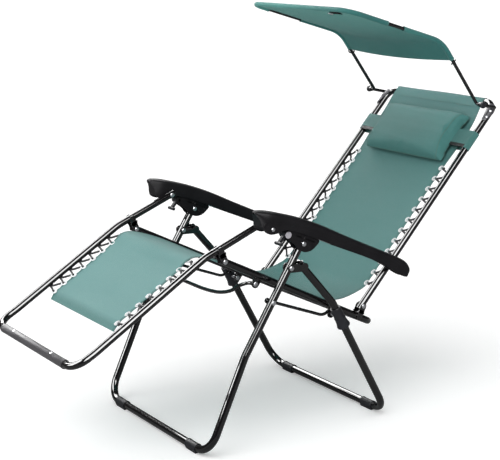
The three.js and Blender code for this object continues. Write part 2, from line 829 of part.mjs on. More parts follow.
// The lock lever: a round knob between the cheeks with a T handle below
function lockLever(name, side) {
  const tip = armPoint([lockAlong - leverForward - leverSlope, -leverDrop - leverReach]);
  const inner = legTubeRadius;
  const pinReach = legTubeRadius + lockSideGap + lockCheek;
  const hub = turned(leverPivot, side, [
    [0, legHalfWidth - pinReach],
    [rivetRadius, legHalfWidth - pinReach],
    [rivetRadius, legHalfWidth - inner],
    [leverKnobRadius, legHalfWidth - inner],
    [leverKnobRadius, legHalfWidth + inner],
    [rivetRadius, legHalfWidth + inner],
    [rivetRadius, legHalfWidth + pinReach],
    [0, legHalfWidth + pinReach],
  ]);
  const stem = sidePlate(
    strapOutline(leverPivot, tip, leverGripRadius),
    side,
    legHalfWidth - inner / 2,
    legHalfWidth + inner / 2,
  );
  const grip = turned(tip, side, [
    [0, legHalfWidth - leverGripHalfLength],
    [leverGripRadius, legHalfWidth - leverGripHalfLength],
    [leverGripRadius, legHalfWidth + leverGripHalfLength],
    [0, legHalfWidth + leverGripHalfLength],
  ]);
  add(name, geometryOf(union([hub, stem, grip].map(solid))), greyPlastic);
}

// Canopy frame: one rod bent up from each bracket, along the sides and across the front
function canopyFrame() {
  const bracketInner = seatHalfWidth + frameTubeRadius + fitGap;
  const end = bracketInner + canopyBracketWidth - canopyTubeRadius / 2;
  const half = [
    spot(canopyPivot, -end),
    spot(canopyPivot, -canopyHalfWidth),
    spot(canopyElbow, -canopyHalfWidth),
    spot(canopyFront, -canopyHalfWidth),
  ];
  const far = half.map((p) => new THREE.Vector3(p.x, -p.y, p.z)).reverse();
  const radii = [canopyPegRadius, canopyElbowRadius, canopyCornerRadius];
  const route = bentRoute([...half, ...far], [...radii, ...radii.slice().reverse()]);
  add("canopy_frame", tube(route, canopyTubeRadius, rodSides), glossBlack);
}

// The bracket on the outside of the back tube that holds the canopy rod's end
function canopyBracket(name, side) {
  const inner = seatHalfWidth + frameTubeRadius + fitGap;
  const top = offset(backTop, backRun, -canopyBracketDrop - canopyBracketRadius);
  const low = offset(backTop, backRun, canopyBracketRadius - canopyBracketDrop - canopyBracketLength);
  const strap = (a, b, radius) =>
    solid(sidePlate(strapOutline(a, b, canopyBracketRadius, radius), side, inner, inner + canopyBracketWidth));
  const body = union([
    strap(low, top, canopyBracketRadius),
    strap(low, canopyPivot, canopyNoseRadius),
    strap(top, canopyPivot, canopyNoseRadius),
  ]);
  const bore = drill(canopyPivot, boreFor(canopyTubeRadius));
  add(name, geometryOf(body.subtract(bore)), mouldedBlack);
}

function canopyKnob(name, side) {
  const face = seatHalfWidth + frameTubeRadius + canopyBracketWidth + 2 * fitGap;
  const rim = canopyKnobWidth / 4;
  const knob = turned(canopyPivot, side, [
    [0, face],
    [canopyKnobRadius, face],
    [canopyKnobRadius, face + canopyKnobWidth - rim],
    [canopyKnobRadius - rim, face + canopyKnobWidth],
    [0, face + canopyKnobWidth],
  ], roundSegments);
  add(name, knob, greyPlastic);
}

// A closed cloth: place(u, v) gives the middle surface, up(u) the way its face looks
function cloth(rows, columns, thickness, place, up) {
  const positions = [];
  const faces = [];
  const index = (face, i, j) => (face * (rows + 1) + i) * (columns + 1) + j;
  for (const face of [0, 1]) {
    for (let i = 0; i <= rows; i++) {
      for (let j = 0; j <= columns; j++) {
        const p = place(i / rows, j / columns);
        const n = up(i / rows);
        const lift = (face ? 1 : -1) * (thickness / 2);
        positions.push(p.x + n.x * lift, p.y, p.z + n.z * lift);
      }
    }
  }
  const quad = (a, b, c, d) => faces.push(a, b, c, a, c, d);
  for (let i = 0; i < rows; i++) {
    for (let j = 0; j < columns; j++) {
      quad(index(1, i, j), index(1, i + 1, j), index(1, i + 1, j + 1), index(1, i, j + 1));
      quad(index(0, i, j), index(0, i, j + 1), index(0, i + 1, j + 1), index(0, i + 1, j));
    }
    quad(index(0, i, 0), index(0, i + 1, 0), index(1, i + 1, 0), index(1, i, 0));
    quad(index(0, i + 1, columns), index(0, i, columns), index(1, i, columns), index(1, i + 1, columns));
  }
  for (let j = 0; j < columns; j++) {
    quad(index(0, 0, j + 1), index(0, 0, j), index(1, 0, j), index(1, 0, j + 1));
    quad(index(0, rows, j), index(0, rows, j + 1), index(1, rows, j + 1), index(1, rows, j));
  }
  const g = new THREE.BufferGeometry();
  g.setAttribute("position", new THREE.BufferAttribute(new Float32Array(positions), 3));
  g.setIndex(faces);
  return facingOut(g);
}

// Turns every face round when the volume comes out negative
function facingOut(g) {
  if (solid(g).volume() > 0) return g;
  const order = Array.from(g.index.array);
  for (let i = 0; i < order.length; i += 3) [order[i + 1], order[i + 2]] = [order[i + 2], order[i + 1]];
  g.setIndex(order);
  return g;
}

const dish = (v) => 1 - (2 * v - 1) ** 2;
const widthAt = (v, half) => (2 * v - 1) * half;

function footSling() {
  const place = (u, v) => {
    const s = THREE.MathUtils.lerp(footSlingStart, footSlingEnd, u);
    const p = offset(footrestKnee, footRun, s, footUp, -slingHang - slingDish * dish(v));
    return new THREE.Vector3(p.x, widthAt(v, slingHalfWidth), p.z);
  };
  add("sling_foot", cloth(footClothRows, clothColumns, clothThickness, place, () => footUp), tealCloth);
}

// The back's stretch ends in a hem round the top bar
function backSling() {
  const end = backLength - frameTubeRadius - fitGap - hemThickness / 2;
  const place = (u, v) => {
    const s = THREE.MathUtils.lerp(backSlingStart, end, u);
    const tuck = slingHang * (1 - u) + slingDish * dish(v) * (1 - u * u);
    const p = offset(backPivot, backRun, s, backFront, -tuck);
    return new THREE.Vector3(p.x, widthAt(v, slingHalfWidth), p.z);
  };
  const bore = boreFor(frameTubeRadius);
  const outer = bore + hemThickness;
  const ring = turned(backTop, 1, [
    [bore, -slingHalfWidth],
    [outer, -slingHalfWidth],
    [outer, slingHalfWidth],
    [bore, slingHalfWidth],
    [bore, -slingHalfWidth],
  ], roundSegments);
  const hem = solid(cloth(backClothRows, clothColumns, clothThickness, place, () => backFront)).add(solid(ring));
  const bar = turned(backTop, 1, [
    [0, -seatHalfWidth],
    [bore, -seatHalfWidth],
    [bore, seatHalfWidth],
    [0, seatHalfWidth],
  ], roundSegments);
  add("sling_back", geometryOf(hem.subtract(solid(bar))), tealCloth);
}

// The seat's stretch of cloth hangs free from the footrest to the back
function seatSling() {
  const start = offset(footrestKnee, footRun, footSlingStart - fitGap, footUp, -slingHang);
  const shin = offset(footrestKnee, footRun, footSlingStart / 2, footUp, -slingHang);
  const crest = offset(footrestKnee, footRun, 0, footUp, -slingHang);
  const end = offset(backPivot, backRun, backSlingStart - fitGap, backFront, -slingHang);
  const run = [start, shin, crest, seatSlingKnee, seatSlingFront, seatSlingLow, seatSlingRear, end];
  const curve = new THREE.SplineCurve(run.map((p) => new THREE.Vector2(p.x, p.z)));
  const up = (u) => {
    if (u === 0) return footUp;
    if (u === 1) return backFront;
    const t = curve.getTangentAt(u);
    return { x: -t.y, z: t.x };
  };
  const place = (u, v) => {
    const p = curve.getPointAt(u);
    const n = up(u);
    const sag = slingDish * dish(v);
    return new THREE.Vector3(p.x - n.x * sag, widthAt(v, slingHalfWidth), p.y - n.z * sag);
  };
  add("sling_seat", cloth(seatClothRows, clothColumns, clothThickness, place, up), tealCloth);
}

// Elastic lacing: out from a hook on the cloth's edge, round the tube and back to the next hook
function lacing(name, side, origin, run, up, first, pitch, hooks) {
  const sweep = (Math.PI * 3) / 2;
  const wrap = (frameTubeRadius + fitGap + cordRadius) / Math.cos(sweep / (2 * lacingTurns)) + fitGap;
  const edge = slingHalfWidth + fitGap + cordRadius;
  const points = [];
  const push = (along, y, lift) => points.push(spot(offset(origin, run, along, up, lift), side * y));
  for (let i = 0; i < hooks; i++) {
    const s = first + i * pitch;
    push(s - cordRadius, edge + cordRadius, -slingHang);
    push(s, edge, -slingHang);
    push(s + cordRadius, edge + cordRadius, -slingHang);
    if (i === hooks - 1) break;
    for (let k = 0; k <= lacingTurns; k++) {
      const a = sweep / 2 - (sweep * k) / lacingTurns;
      const y = seatHalfWidth + wrap * Math.cos(a);
      push(s + pitch * (lacingStartShare + (lacingTurnShare * k) / lacingTurns), y, wrap * Math.sin(a));
    }
  }
  add(name, tube(points, cordRadius, cordSides), blackCord);
}

// How wide the pillow is: its sides draw in between the corners
const pillowSide = (u) => pillowHalfWidth * (1 - pillowWaistShare * (1 - u * u));
const pillowRim = pillowThickness * pillowRimShare - pillowSink;

// Head pillow: crowned on both faces
function pillow() {
  const rows = pillowRows;
  const columns = pillowColumns;
  const positions = [];
  const faces = [];
  const index = (face, i, j) => (face * (rows + 1) + i) * (columns + 1) + j;
  const middle = (pillowLow + pillowHigh) / 2;
  const halfLength = (pillowHigh - pillowLow) / 2;
  for (const face of [0, 1]) {
    for (let i = 0; i <= rows; i++) {
      for (let j = 0; j <= columns; j++) {
        const u = (2 * i) / rows - 1;
        const v = (2 * j) / columns - 1;
        const crown = Math.sqrt(Math.max(0, (1 - u ** 4) * (1 - v ** 8)));
        const share = face ? pillowCrownShare : -pillowBellyShare;
        const lift = pillowRim + share * crown * pillowThickness;
        const waist = 1 - pillowWaistShare * (1 - v * v);
        const p = offset(backPivot, backRun, middle + u * waist * halfLength, backFront, lift);
        positions.push(p.x, v * pillowSide(u), p.z);
      }
    }
  }
  const quad = (a, b, c, d) => faces.push(a, b, c, a, c, d);
  for (let i = 0; i < rows; i++) {
    for (let j = 0; j < columns; j++) {
      quad(index(1, i, j), index(1, i + 1, j), index(1, i + 1, j + 1), index(1, i, j + 1));
      quad(index(0, i, j), index(0, i, j + 1), index(0, i + 1, j + 1), index(0, i + 1, j));
    }
  }
  const g = new THREE.BufferGeometry();
  g.setAttribute("position", new THREE.BufferAttribute(new Float32Array(positions), 3));
  g.setIndex(faces);
  add("head_pillow", facingOut(mergeVertices(g, 1e-3)), tealCloth);
}

// The strap that holds the pillow: from its sides round both tubes and across behind the sling
function pillowStrap() {
  const half = (pillowHigh - pillowLow) / 2;
  const middle = (pillowHigh + pillowLow) / 2;
  const reach = Math.abs(strapAlong - middle) + strapWidth / 2;
  const start = pillowSide(reach / half) + fitGap;
  const round = boreFor(frameTubeRadius);
  const edge = (grow) => {
    const points = [[start, pillowRim + grow]];
    for (let k = 0; k <= strapTurns; k++) {
      const a = Math.PI / 2 - (Math.PI * k) / strapTurns;
      points.push([seatHalfWidth + (round + grow) * Math.cos(a), (round + grow) * Math.sin(a)]);
    }
    return points;
  };
  const mirror = (points) => points.map(([y, h]) => [-y, h]).reverse();
  const outer = edge(strapThickness);
  const inner = edge(0);
  const loop = [...outer, ...mirror(outer), ...mirror(inner).reverse(), ...inner.reverse()];
  const shape = new THREE.Shape(loop.map(([y, h]) => new THREE.Vector2(y, h)));
  const g = new THREE.ExtrudeGeometry(shape, { depth: strapWidth, bevelEnabled: false });
  const low = offset(backPivot, backRun, strapAlong - strapWidth / 2);
  const wide = new THREE.Vector3(0, 1, 0);
  const out = new THREE.Vector3(backFront.x, 0, backFront.z);
  const up = new THREE.Vector3(backRun.x, 0, backRun.z);
  const turn = new THREE.Matrix4().makeBasis(wide, out, wide.clone().cross(out));
  const flip = wide.clone().cross(out).dot(up);
  g.applyMatrix4(turn);
  const shift = flip < 0 ? strapWidth : 0;
  const base = offset(low, backRun, shift);
  g.translate(base.x, 0, base.z);
  add("pillow_strap", g, tealCloth);
}

// The canopy cloth: a sheet over the side rods that follows the elbow down at the rear
function canopyCloth() {
  const lift = canopyTubeRadius + 2 * fitGap + clothThickness / 2;
  const rearRun = toward(canopyPivot, canopyElbow);
  const roofRun = toward(canopyElbow, canopyFront);
  const rearUp = { x: rearRun.z, z: -rearRun.x };
  const roofUp = { x: roofRun.z, z: -roofRun.x };
  const share = lift / (1 + rearUp.x * roofUp.x + rearUp.z * roofUp.z);
  const corner = offset(canopyElbow, rearUp, share, roofUp, share);
  const low = offset(canopyElbow, rearRun, -canopyRearDrop, rearUp, lift);
  const front = offset(canopyFront, roofRun, 2 * canopyTubeRadius, roofUp, lift);
  const bend = bentRoute([low, corner, front].map((p) => spot(p, 0)), [canopyElbowRadius + lift]);
  const profile = [];
  for (const p of bend.slice(0, -1)) profile.push({ x: p.x, z: p.z });
  const last = profile[profile.length - 1];
  for (let i = 1; i <= canopyRoofRows; i++) {
    const t = i / canopyRoofRows;
    profile.push({ x: THREE.MathUtils.lerp(last.x, front.x, t), z: THREE.MathUtils.lerp(last.z, front.z, t) });
  }
  const rows = profile.length - 1;
  const up = (u) => {
    const i = Math.round(u * rows);
    const d = toward(profile[Math.max(i - 1, 0)], profile[Math.min(i + 1, rows)]);
    return { x: d.z, z: -d.x };
  };
  const place = (u, v) => {
    const p = profile[Math.round(u * rows)];
    const n = up(u);
    const sag = canopySag * dish(v) * Math.sin(Math.PI * THREE.MathUtils.lerp(canopySagShare, 1, u));
    return new THREE.Vector3(p.x - n.x * sag, widthAt(v, canopyHalfWidth + canopyTubeRadius), p.z - n.z * sag);
  };
  add("canopy_cloth", cloth(rows, clothColumns, clothThickness, place, up), tealCloth);
}

frontLegs();
rearLegs();
seatFrame();
bowRod();
backFrame();
footrestFrame();
footBarCover();
canopyFrame();
canopyCloth();
footSling();
backSling();
seatSling();
pillow();
pillowStrap();
for (const [word, side] of sides) {
  legBracket("rear_leg_bracket_" + word, side);
  legRivet("leg_hinge_rivet_" + word, side);
  footCap("front_foot_cap_" + word, frontBar, side);
  footCap("rear_foot_cap_" + word, rearBar, side);
  legSlide("leg_slide_" + word, side);
  seatPinBolt("seat_pin_" + word, side);
  linkRod("link_rod_" + word, side);
  const backReach = (backPivot.x - kneePivot.x) * seatRun.x + (backPivot.z - kneePivot.z) * seatRun.z;
  clevis("back_bracket_" + word, side, backPivot, offset(kneePivot, seatRun, backReach), seatRun);
  clevis("knee_bracket_" + word, side, kneePivot, kneeRoot(), toward(footrestKnee, armFrontPivot));
  framePin("back_rivet_" + word, backPivot, side);
  framePin("knee_rivet_" + word, kneePivot, side);
  armrest("armrest_" + word, side);
  armRail("arm_rail_" + word, side);
  armFrontBolt("arm_front_bolt_" + word, side);
  armRearBolt("arm_rear_bolt_" + word, side);
  lockHousing("lock_housing_" + word, side);
  lockRivet("lock_rivet_" + word, side);
  lockLever("lock_lever_" + word, side);
  canopyBracket("canopy_bracket_" + word, side);
  canopyKnob("canopy_knob_" + word, side);
  lacing("foot_lacing_" + word, side, footrestKnee, footRun, footUp, footHookFirst, footHookPitch, footHooks);
  lacing("back_lacing_" + word, side, backPivot, backRun, backFront, backHookFirst, backHookPitch, backHooks);
}

// The origin goes to the middle of the outline, on the floor
lounger.updateMatrixWorld(true);
const outline = new THREE.Box3().setFromObject(lounger);
const middle = outline.getCenter(new THREE.Vector3());
lounger.position.set(-middle.x, -middle.y, -outline.min.z);

export default lounger;
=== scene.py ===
import math

import bmesh
import bpy
from mathutils import Matrix, Vector
from mathutils.bvhtree import BVHTree

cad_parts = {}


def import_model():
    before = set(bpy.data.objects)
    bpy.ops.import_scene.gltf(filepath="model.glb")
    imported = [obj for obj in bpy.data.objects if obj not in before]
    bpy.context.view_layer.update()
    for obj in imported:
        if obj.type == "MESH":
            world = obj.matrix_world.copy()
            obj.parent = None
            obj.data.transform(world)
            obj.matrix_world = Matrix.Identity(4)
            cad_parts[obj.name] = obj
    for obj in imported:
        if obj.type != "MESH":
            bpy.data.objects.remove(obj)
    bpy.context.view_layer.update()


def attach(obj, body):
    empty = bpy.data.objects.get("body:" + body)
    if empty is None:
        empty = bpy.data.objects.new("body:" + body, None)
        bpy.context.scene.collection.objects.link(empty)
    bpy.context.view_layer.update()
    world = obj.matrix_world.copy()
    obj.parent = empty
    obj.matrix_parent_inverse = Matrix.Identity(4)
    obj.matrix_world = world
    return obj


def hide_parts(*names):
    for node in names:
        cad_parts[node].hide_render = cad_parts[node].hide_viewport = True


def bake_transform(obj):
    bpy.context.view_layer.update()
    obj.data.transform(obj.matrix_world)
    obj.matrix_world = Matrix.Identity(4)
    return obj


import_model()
scene = bpy.context.scene
scene.view_settings.view_transform = "Standard"

MM = 0.001
MIDDLE_X = 338.341

# Radii of tube, rod and rivet, the plates' thickness and the clearance between pieces
LEG_TUBE = 11
FRAME_TUBE = 10
CANOPY_ROD = 5
ROD = 4.5
BOW_ROD = 5.2
CORD = 3.0
RIVET = 4
RIVET_HEAD = 7
HEAD_HEIGHT = 2
LUG_END = 11
LUG_ROOT = 14
PLATE = 2.5
GAP = 0.3

# Half widths, to the middle of each tube
SEAT_HALF = 247
LEG_HALF = SEAT_HALF + 43
LINK_HALF = SEAT_HALF + 21
ARM_INNER = SEAT_HALF + 16
CANOPY_HALF = SEAT_HALF - 3
CANOPY_CORNER = 50
SLING_HALF = SEAT_HALF - 43
PILLOW_HALF = SLING_HALF - 12
PILLOW_SHIFT = -11

SIDES = (("left", -1), ("right", 1))


# Places in the side view are pairs: along the floor, and up
def flat(x, z):
    return Vector((x, z))


def toward(a, b):
    return (b - a).normalized()


def left_of(d):
    return Vector((-d.y, d.x))


def spot(p, y=0):
    return Vector((p.x, y, p.y))


def in_frame(p):
    return Vector(((p[0] - MIDDLE_X) * MM, p[1] * MM, p[2] * MM))


LEG_BENDS = (90, 58)
LEG_HINGE = flat(262, 498)
FRONT_BEND = flat(117, 270)
FRONT_RUN = toward(FRONT_BEND, LEG_HINGE)
LOCK_PIVOT = LEG_HINGE + FRONT_RUN * 75
LINK_PIVOT = LEG_HINGE - FRONT_RUN * 106
FLOOR_BAR = 13.5
FRONT_BAR = flat(0, FLOOR_BAR)
REAR_TOP = flat(298, 505)
REAR_BEND = flat(410, 377)
REAR_BAR = flat(609, FLOOR_BAR)
REAR_RUN = toward(REAR_BEND, REAR_BAR)
LINK_PIN = REAR_BEND + REAR_RUN * 28
SEAT_PIN = REAR_BEND + REAR_RUN * 56
SLIDE_FACE = LEG_HALF - LEG_TUBE - 4.9
LINK_ELBOW = flat(395, 336)
KNEE = flat(77, 533)
ARM_FRONT = flat(202, 622)
BACK_HINGE = flat(546, 336)
ARM_REAR = BACK_HINGE + ARM_FRONT - KNEE
SEAT_REAR = flat(592, 276)
SEAT_RUN = toward(KNEE, SEAT_REAR)
BACK_LEAN = math.radians(47.6)
BACK_RUN = flat(math.cos(BACK_LEAN), math.sin(BACK_LEAN))
BACK_FACE = left_of(BACK_RUN)
BACK_LENGTH = 744
BACK_TOP = BACK_HINGE + BACK_RUN * BACK_LENGTH
BACK_BEND = 38
BACK_ROOT = KNEE + SEAT_RUN * (BACK_HINGE - KNEE).dot(SEAT_RUN)
FOOT_KNEE = flat(20, 549)
FOOT_SHIN = flat(-309, 346)
FOOT_END = flat(-370, 313)
FOOT_RUN = toward(FOOT_KNEE, FOOT_SHIN)
FOOT_FACE = -left_of(FOOT_RUN)
KNEE_RUN = toward(FOOT_KNEE, ARM_FRONT)
KNEE_ROOT = FOOT_KNEE + KNEE_RUN * (KNEE - FOOT_KNEE).dot(KNEE_RUN)
BOW_PIVOT = flat(180, 454)
ARM_RUN = toward(ARM_FRONT, ARM_REAR)
ARM_UP = left_of(ARM_RUN)
ARM_LENGTH = (ARM_REAR - ARM_FRONT).length
ARM_HEIGHT = 46
LOCK_ALONG = (LOCK_PIVOT - ARM_FRONT).dot(ARM_RUN)
LEVER_ALONG = LOCK_ALONG - 62
CANOPY_PIVOT = BACK_TOP - BACK_RUN * 47.1 + BACK_FACE * 55.4
CANOPY_ELBOW = CANOPY_PIVOT + flat(-143, 192)
CANOPY_FRONT = CANOPY_ELBOW + flat(-342, 101)
CANOPY_BEND = 110
CANOPY_REAR_DROP = 70
CANOPY_REAR_RUN = toward(CANOPY_PIVOT, CANOPY_ELBOW)
CANOPY_ROOF_RUN = toward(CANOPY_ELBOW, CANOPY_FRONT)

# Sling, pillow and strap
SLING_HANG = 10
SLING_DISH = 9
FOOT_CLOTH_START = 122
FOOT_CLOTH_END = 302
FOOT_CLOTH_IN = 9
BACK_CLOTH_START = 62
CLOTH = 1.6
FOOT_HOOKS = 8
FOOT_HOOK_FIRST = 22
FOOT_HOOK_PITCH = (FOOT_CLOTH_END - 21 - FOOT_HOOK_FIRST) / (FOOT_HOOKS - 1)
PILLOW_HIGH = BACK_LENGTH - 64
PILLOW_LOW = PILLOW_HIGH - 178
PILLOW_MIDDLE = (PILLOW_LOW + PILLOW_HIGH) / 2
PILLOW_THICKNESS = 66
PILLOW_RIM = 5.5
STRAP_WIDTH = 60
STRAP_LOW = PILLOW_MIDDLE + 9 - STRAP_WIDTH / 2
BACK_HOOKS = 12
BACK_HOOK_FIRST = 74
BACK_HOOK_PITCH = (PILLOW_LOW - 10 - BACK_HOOK_FIRST) / (BACK_HOOKS - 1)


# Places on the arm, the back and the footrest: how far along, and how far above
def on_arm(s, h):
    return ARM_FRONT + ARM_RUN * s + ARM_UP * h


def on_back(s, h=0):
    return BACK_HINGE + BACK_RUN * s + BACK_FACE * h


def on_foot(s, h=0):
    return FOOT_KNEE + FOOT_RUN * s + FOOT_FACE * h


# Camera, at the photograph's angle
CAMERA_TURNS = (33.11, -12.52, -0.35)
CAMERA_PLACE = (-2.0793, -3.168, 1.382)
FOCAL_PIXELS = 1325.6
PHOTO_WIDTH = 500
SENSOR = 36
FAR_CLIP = 400


def place_camera():
    yaw, pitch, roll = map(math.radians, CAMERA_TURNS)
    ahead = Vector((math.sin(yaw) * math.cos(pitch), math.cos(yaw) * math.cos(pitch), math.sin(pitch)))
    right = Vector((math.cos(yaw), -math.sin(yaw), 0))
    up = right.cross(ahead)
    level_right = right * math.cos(roll) + up * math.sin(roll)
    level_up = up * math.cos(roll) - right * math.sin(roll)
    lens = bpy.data.cameras.new("camera")
    lens.sensor_width = SENSOR
    lens.lens = SENSOR * FOCAL_PIXELS / PHOTO_WIDTH
    lens.clip_end = FAR_CLIP
    camera = bpy.data.objects.new("camera", lens)
    turn = Matrix((level_right, level_up, -ahead)).transposed().to_4x4()
    camera.matrix_world = Matrix.Translation(CAMERA_PLACE) @ turn
    scene.collection.objects.link(camera)
    scene.camera = camera


# Studio: a wide pale floor, two suns and soft boxes
FLOOR_REACH = 90
AIM = Vector((0, 0, 0.55))


def place_floor(paint):
    mesh = bpy.data.meshes.new("studio_floor")
    corners = [(x * FLOOR_REACH, y * FLOOR_REACH, 0) for x, y in ((-1, -1), (1, -1), (1, 1), (-1, 1))]
    mesh.from_pydata(corners, [], [(0, 1, 2, 3)])
    mesh.materials.append(paint)
    floor = bpy.data.objects.new("studio_floor", mesh)
    scene.collection.objects.link(floor)


def lamp(name, kind, toward_light, energy, **settings):
    light = bpy.data.lights.new(name, kind)
    light.energy = energy
    for key, value in settings.items():
        setattr(light, key, value)
    made = bpy.data.objects.new(name, light)
    made.rotation_euler = Vector(toward_light).to_track_quat("Z", "Y").to_euler()
    scene.collection.objects.link(made)
    return made


def soft_box(name, toward_light, distance, size, brightness):
    """A soft box that only gloss shows, so that it adds highlights to the paint and no light to the cloth."""
    width, height = size
    power = brightness * math.pi * width * height
    made = lamp(name, "AREA", toward_light, power, shape="RECTANGLE", size=width, size_y=height)
    made.location = AIM + Vector(toward_light).normalized() * distance
    made.visible_diffuse = False
    made.visible_camera = False


def sun(name, toward_light, power, spread):
    lamp(name, "SUN", toward_light, power, angle=math.radians(spread)).visible_glossy = False


def light_studio():
    lit, seen, mirrored_strength = 0.5, 1.0, 0.06
    world = bpy.data.worlds.new("studio")
    world.use_nodes = True
    w = Wiring(world.node_tree)
    ray = w.node("ShaderNodeLightPath").outputs
    strength = w.range(ray["Is Camera Ray"], 0.0, 1.0, lit, seen)
    strength = w.range(ray["Is Glossy Ray"], 0.0, 1.0, strength, mirrored_strength)
    w.fill(world.node_tree.nodes["Background"], Color=WHITE, Strength=strength)
    scene.world = world
    sun("key", (-0.5, -0.2, 1.1), 1.45, 55)
    sun("fill", (-0.9, -0.6, 0.6), 0.5, 40)
    soft_box("front_box", (-0.265, -0.818, 0.511), 4.0, (2.6, 2.6), 13)
    soft_box("foot_box", (-0.85, 0.2, 0.5), 3.6, (1.8, 2.6), 15)
    soft_box("back_box", (0.0, 0.73, 0.68), 3.8, (4.5, 1.8), 12)


# Node helpers
class Wiring:
    """Makes and joins the nodes of one tree."""

    def __init__(self, tree):
        self.tree = tree

    def put(self, socket, value):
        if hasattr(value, "is_output"):
            self.tree.links.new(value, socket)
        else:
            socket.default_value = value

    def fill(self, made, **values):
        for key, value in values.items():
            self.put(made.inputs[key.replace("_", " ")], value)
        return made

    def node(self, kind, settings=None, **values):
        made = self.tree.nodes.new(kind)
        for key, value in (settings or {}).items():
            setattr(made, key, value)
        return self.fill(made, **values)

    def math(self, operation, *values):
        made = self.node("ShaderNodeMath", {"operation": operation})
        for socket, value in zip(made.inputs, values):
            self.put(socket, value)
        return made.outputs[0]

    def times(self, a, b):
        return self.math("MULTIPLY", a, b)

    def split(self, vector):
        return self.node("ShaderNodeSeparateXYZ", Vector=vector).outputs

    def mapped(self, vector, **values):
        return self.node("ShaderNodeMapping", Vector=vector, **values).outputs[0]

    def blend(self, share, a, b):
        return self.node("ShaderNodeMix", {"data_type": "RGBA"}, Factor=share, A=a, B=b).outputs["Result"]

    def noise(self, where, scale, detail=3.0, rough=0.5):
        made = self.node("ShaderNodeTexNoise", Vector=where, Scale=scale, Detail=detail, Roughness=rough)
        return made.outputs["Fac"]

    def range(self, value, low, high, new_low=0.0, new_high=1.0):
        limits = {"From_Min": low, "From_Max": high, "To_Min": new_low, "To_Max": new_high}
        made = self.node("ShaderNodeMapRange", Value=value, **limits)
        return made.outputs["Result"]

    def bump(self, shader, height, distance):
        made = self.node("ShaderNodeBump", Height=height, Distance=distance)
        self.fill(shader, Normal=made.outputs["Normal"])


def rgb(red, green, blue):
    """A display colour from 0 to 255, turned into the linear value that a shader takes."""
    shares = [v / 255 for v in (red, green, blue)]
    return tuple(v / 12.92 if v < 0.04045 else ((v + 0.055) / 1.055) ** 2.4 for v in shares) + (1.0,)


def grey(value):
    return (value, value, value, 1.0)


def toned(colour, share, extra=0.0):
    return tuple(min(1.0, c * share + extra) for c in colour[:3]) + (1.0,)


WHITE, BLACK = grey(1.0), grey(0.0)


# Effects that several finishes share
def effect(name, defaults, results, make):
    """A node group with named sockets: make takes its wiring and inputs, and gives its results in order."""
    group = bpy.data.node_groups.new(name, "ShaderNodeTree")
    group.interface.new_socket("Place", in_out="INPUT", socket_type="NodeSocketVector")
    for label, value in defaults.items():
        made = group.interface.new_socket(label, in_out="INPUT", socket_type="NodeSocketFloat")
        made.default_value = value
    for label in results:
        group.interface.new_socket(label, in_out="OUTPUT", socket_type="NodeSocketFloat")
    w = Wiring(group)
    given = group.nodes.new("NodeGroupInput").outputs
    out = group.nodes.new("NodeGroupOutput").inputs
    for label, value in zip(results, make(w, given)):
        w.put(out[label], value)
    return group


def plain_weave(w, given):
    scaled = w.node("ShaderNodeVectorMath", {"operation": "SCALE"}, Scale=given["Threads per metre"])
    w.put(scaled.inputs[0], given["Place"])
    x, y, _ = w.split(scaled.outputs[0])
    over, under = [w.math("ABSOLUTE", w.math("SINE", w.times(axis, math.pi))) for axis in (x, y)]
    parity = w.math("ADD", w.math("FLOOR", x), w.math("FLOOR", y))
    turn = w.math("ABSOLUTE", w.math("MODULO", parity, 2.0))
    high = w.math("MULTIPLY_ADD", w.math("SUBTRACT", over, under), turn, under)
    return w.times(high, given["Depth"]), turn, w.math("SUBTRACT", 1.0, w.times(over, under))


def moulded_grain(w, given):
    pits = w.node("ShaderNodeTexVoronoi", Vector=given["Place"], Scale=given["Size"]).outputs["Distance"]
    high = w.math("ADD", pits, w.noise(given["Place"], 420.0, 2.0))
    return w.times(high, given["Depth"]), w.noise(given["Place"], 14.0, 4.0)


def handling_wear(w, given):
    edge = w.range(w.node("ShaderNodeNewGeometry").outputs["Pointiness"], 0.52, 0.6)
    broken = w.range(w.noise(given["Place"], 60.0, 5.0, 0.7), 0.45, 0.7)
    smudge = w.range(w.noise(given["Place"], 9.0, 4.0, 0.6), 0.35, 0.75)
    worn = w.times(w.times(edge, broken), given["Edge"])
    return w.times(worn, given["Amount"]), w.times(smudge, given["Amount"])


def settled_dust(w, given):
    upward = w.range(w.split(w.node("ShaderNodeNewGeometry").outputs["Normal"])["Z"], 0.2, 1.0)
    specks = w.range(w.noise(given["Place"], 130.0, 6.0, 0.7), 0.42, 0.8)
    return [w.times(w.times(upward, specks), given["Amount"])]


WEAVE_INPUTS = {"Threads per metre": 900.0, "Depth": 1.0}
GROUPS = {
    "weave": effect("plain_weave", WEAVE_INPUTS, ("Height", "Thread", "Gap"), plain_weave),
    "grain": effect("moulded_grain", {"Size": 900.0, "Depth": 1.0}, ("Height", "Patch"), moulded_grain),
    "wear": effect("handling_wear", {"Edge": 0.5, "Amount": 0.5}, ("Worn", "Smudge"), handling_wear),
    "dust": effect("settled_dust", {"Amount": 0.2}, ("Mask",), settled_dust),
}


def placed(w, name, **values):
    made = w.tree.nodes.new("ShaderNodeGroup")
    made.node_tree = GROUPS[name]
    return w.fill(made, **values).outputs


def new_finish(name, place="Object", **fixed):
    finish = bpy.data.materials.new(name)
    finish.use_nodes = True
    w = Wiring(finish.node_tree)
    shader = w.fill(finish.node_tree.nodes["Principled BSDF"], **fixed)
    return finish, w, shader, w.node("ShaderNodeTexCoord").outputs[place]


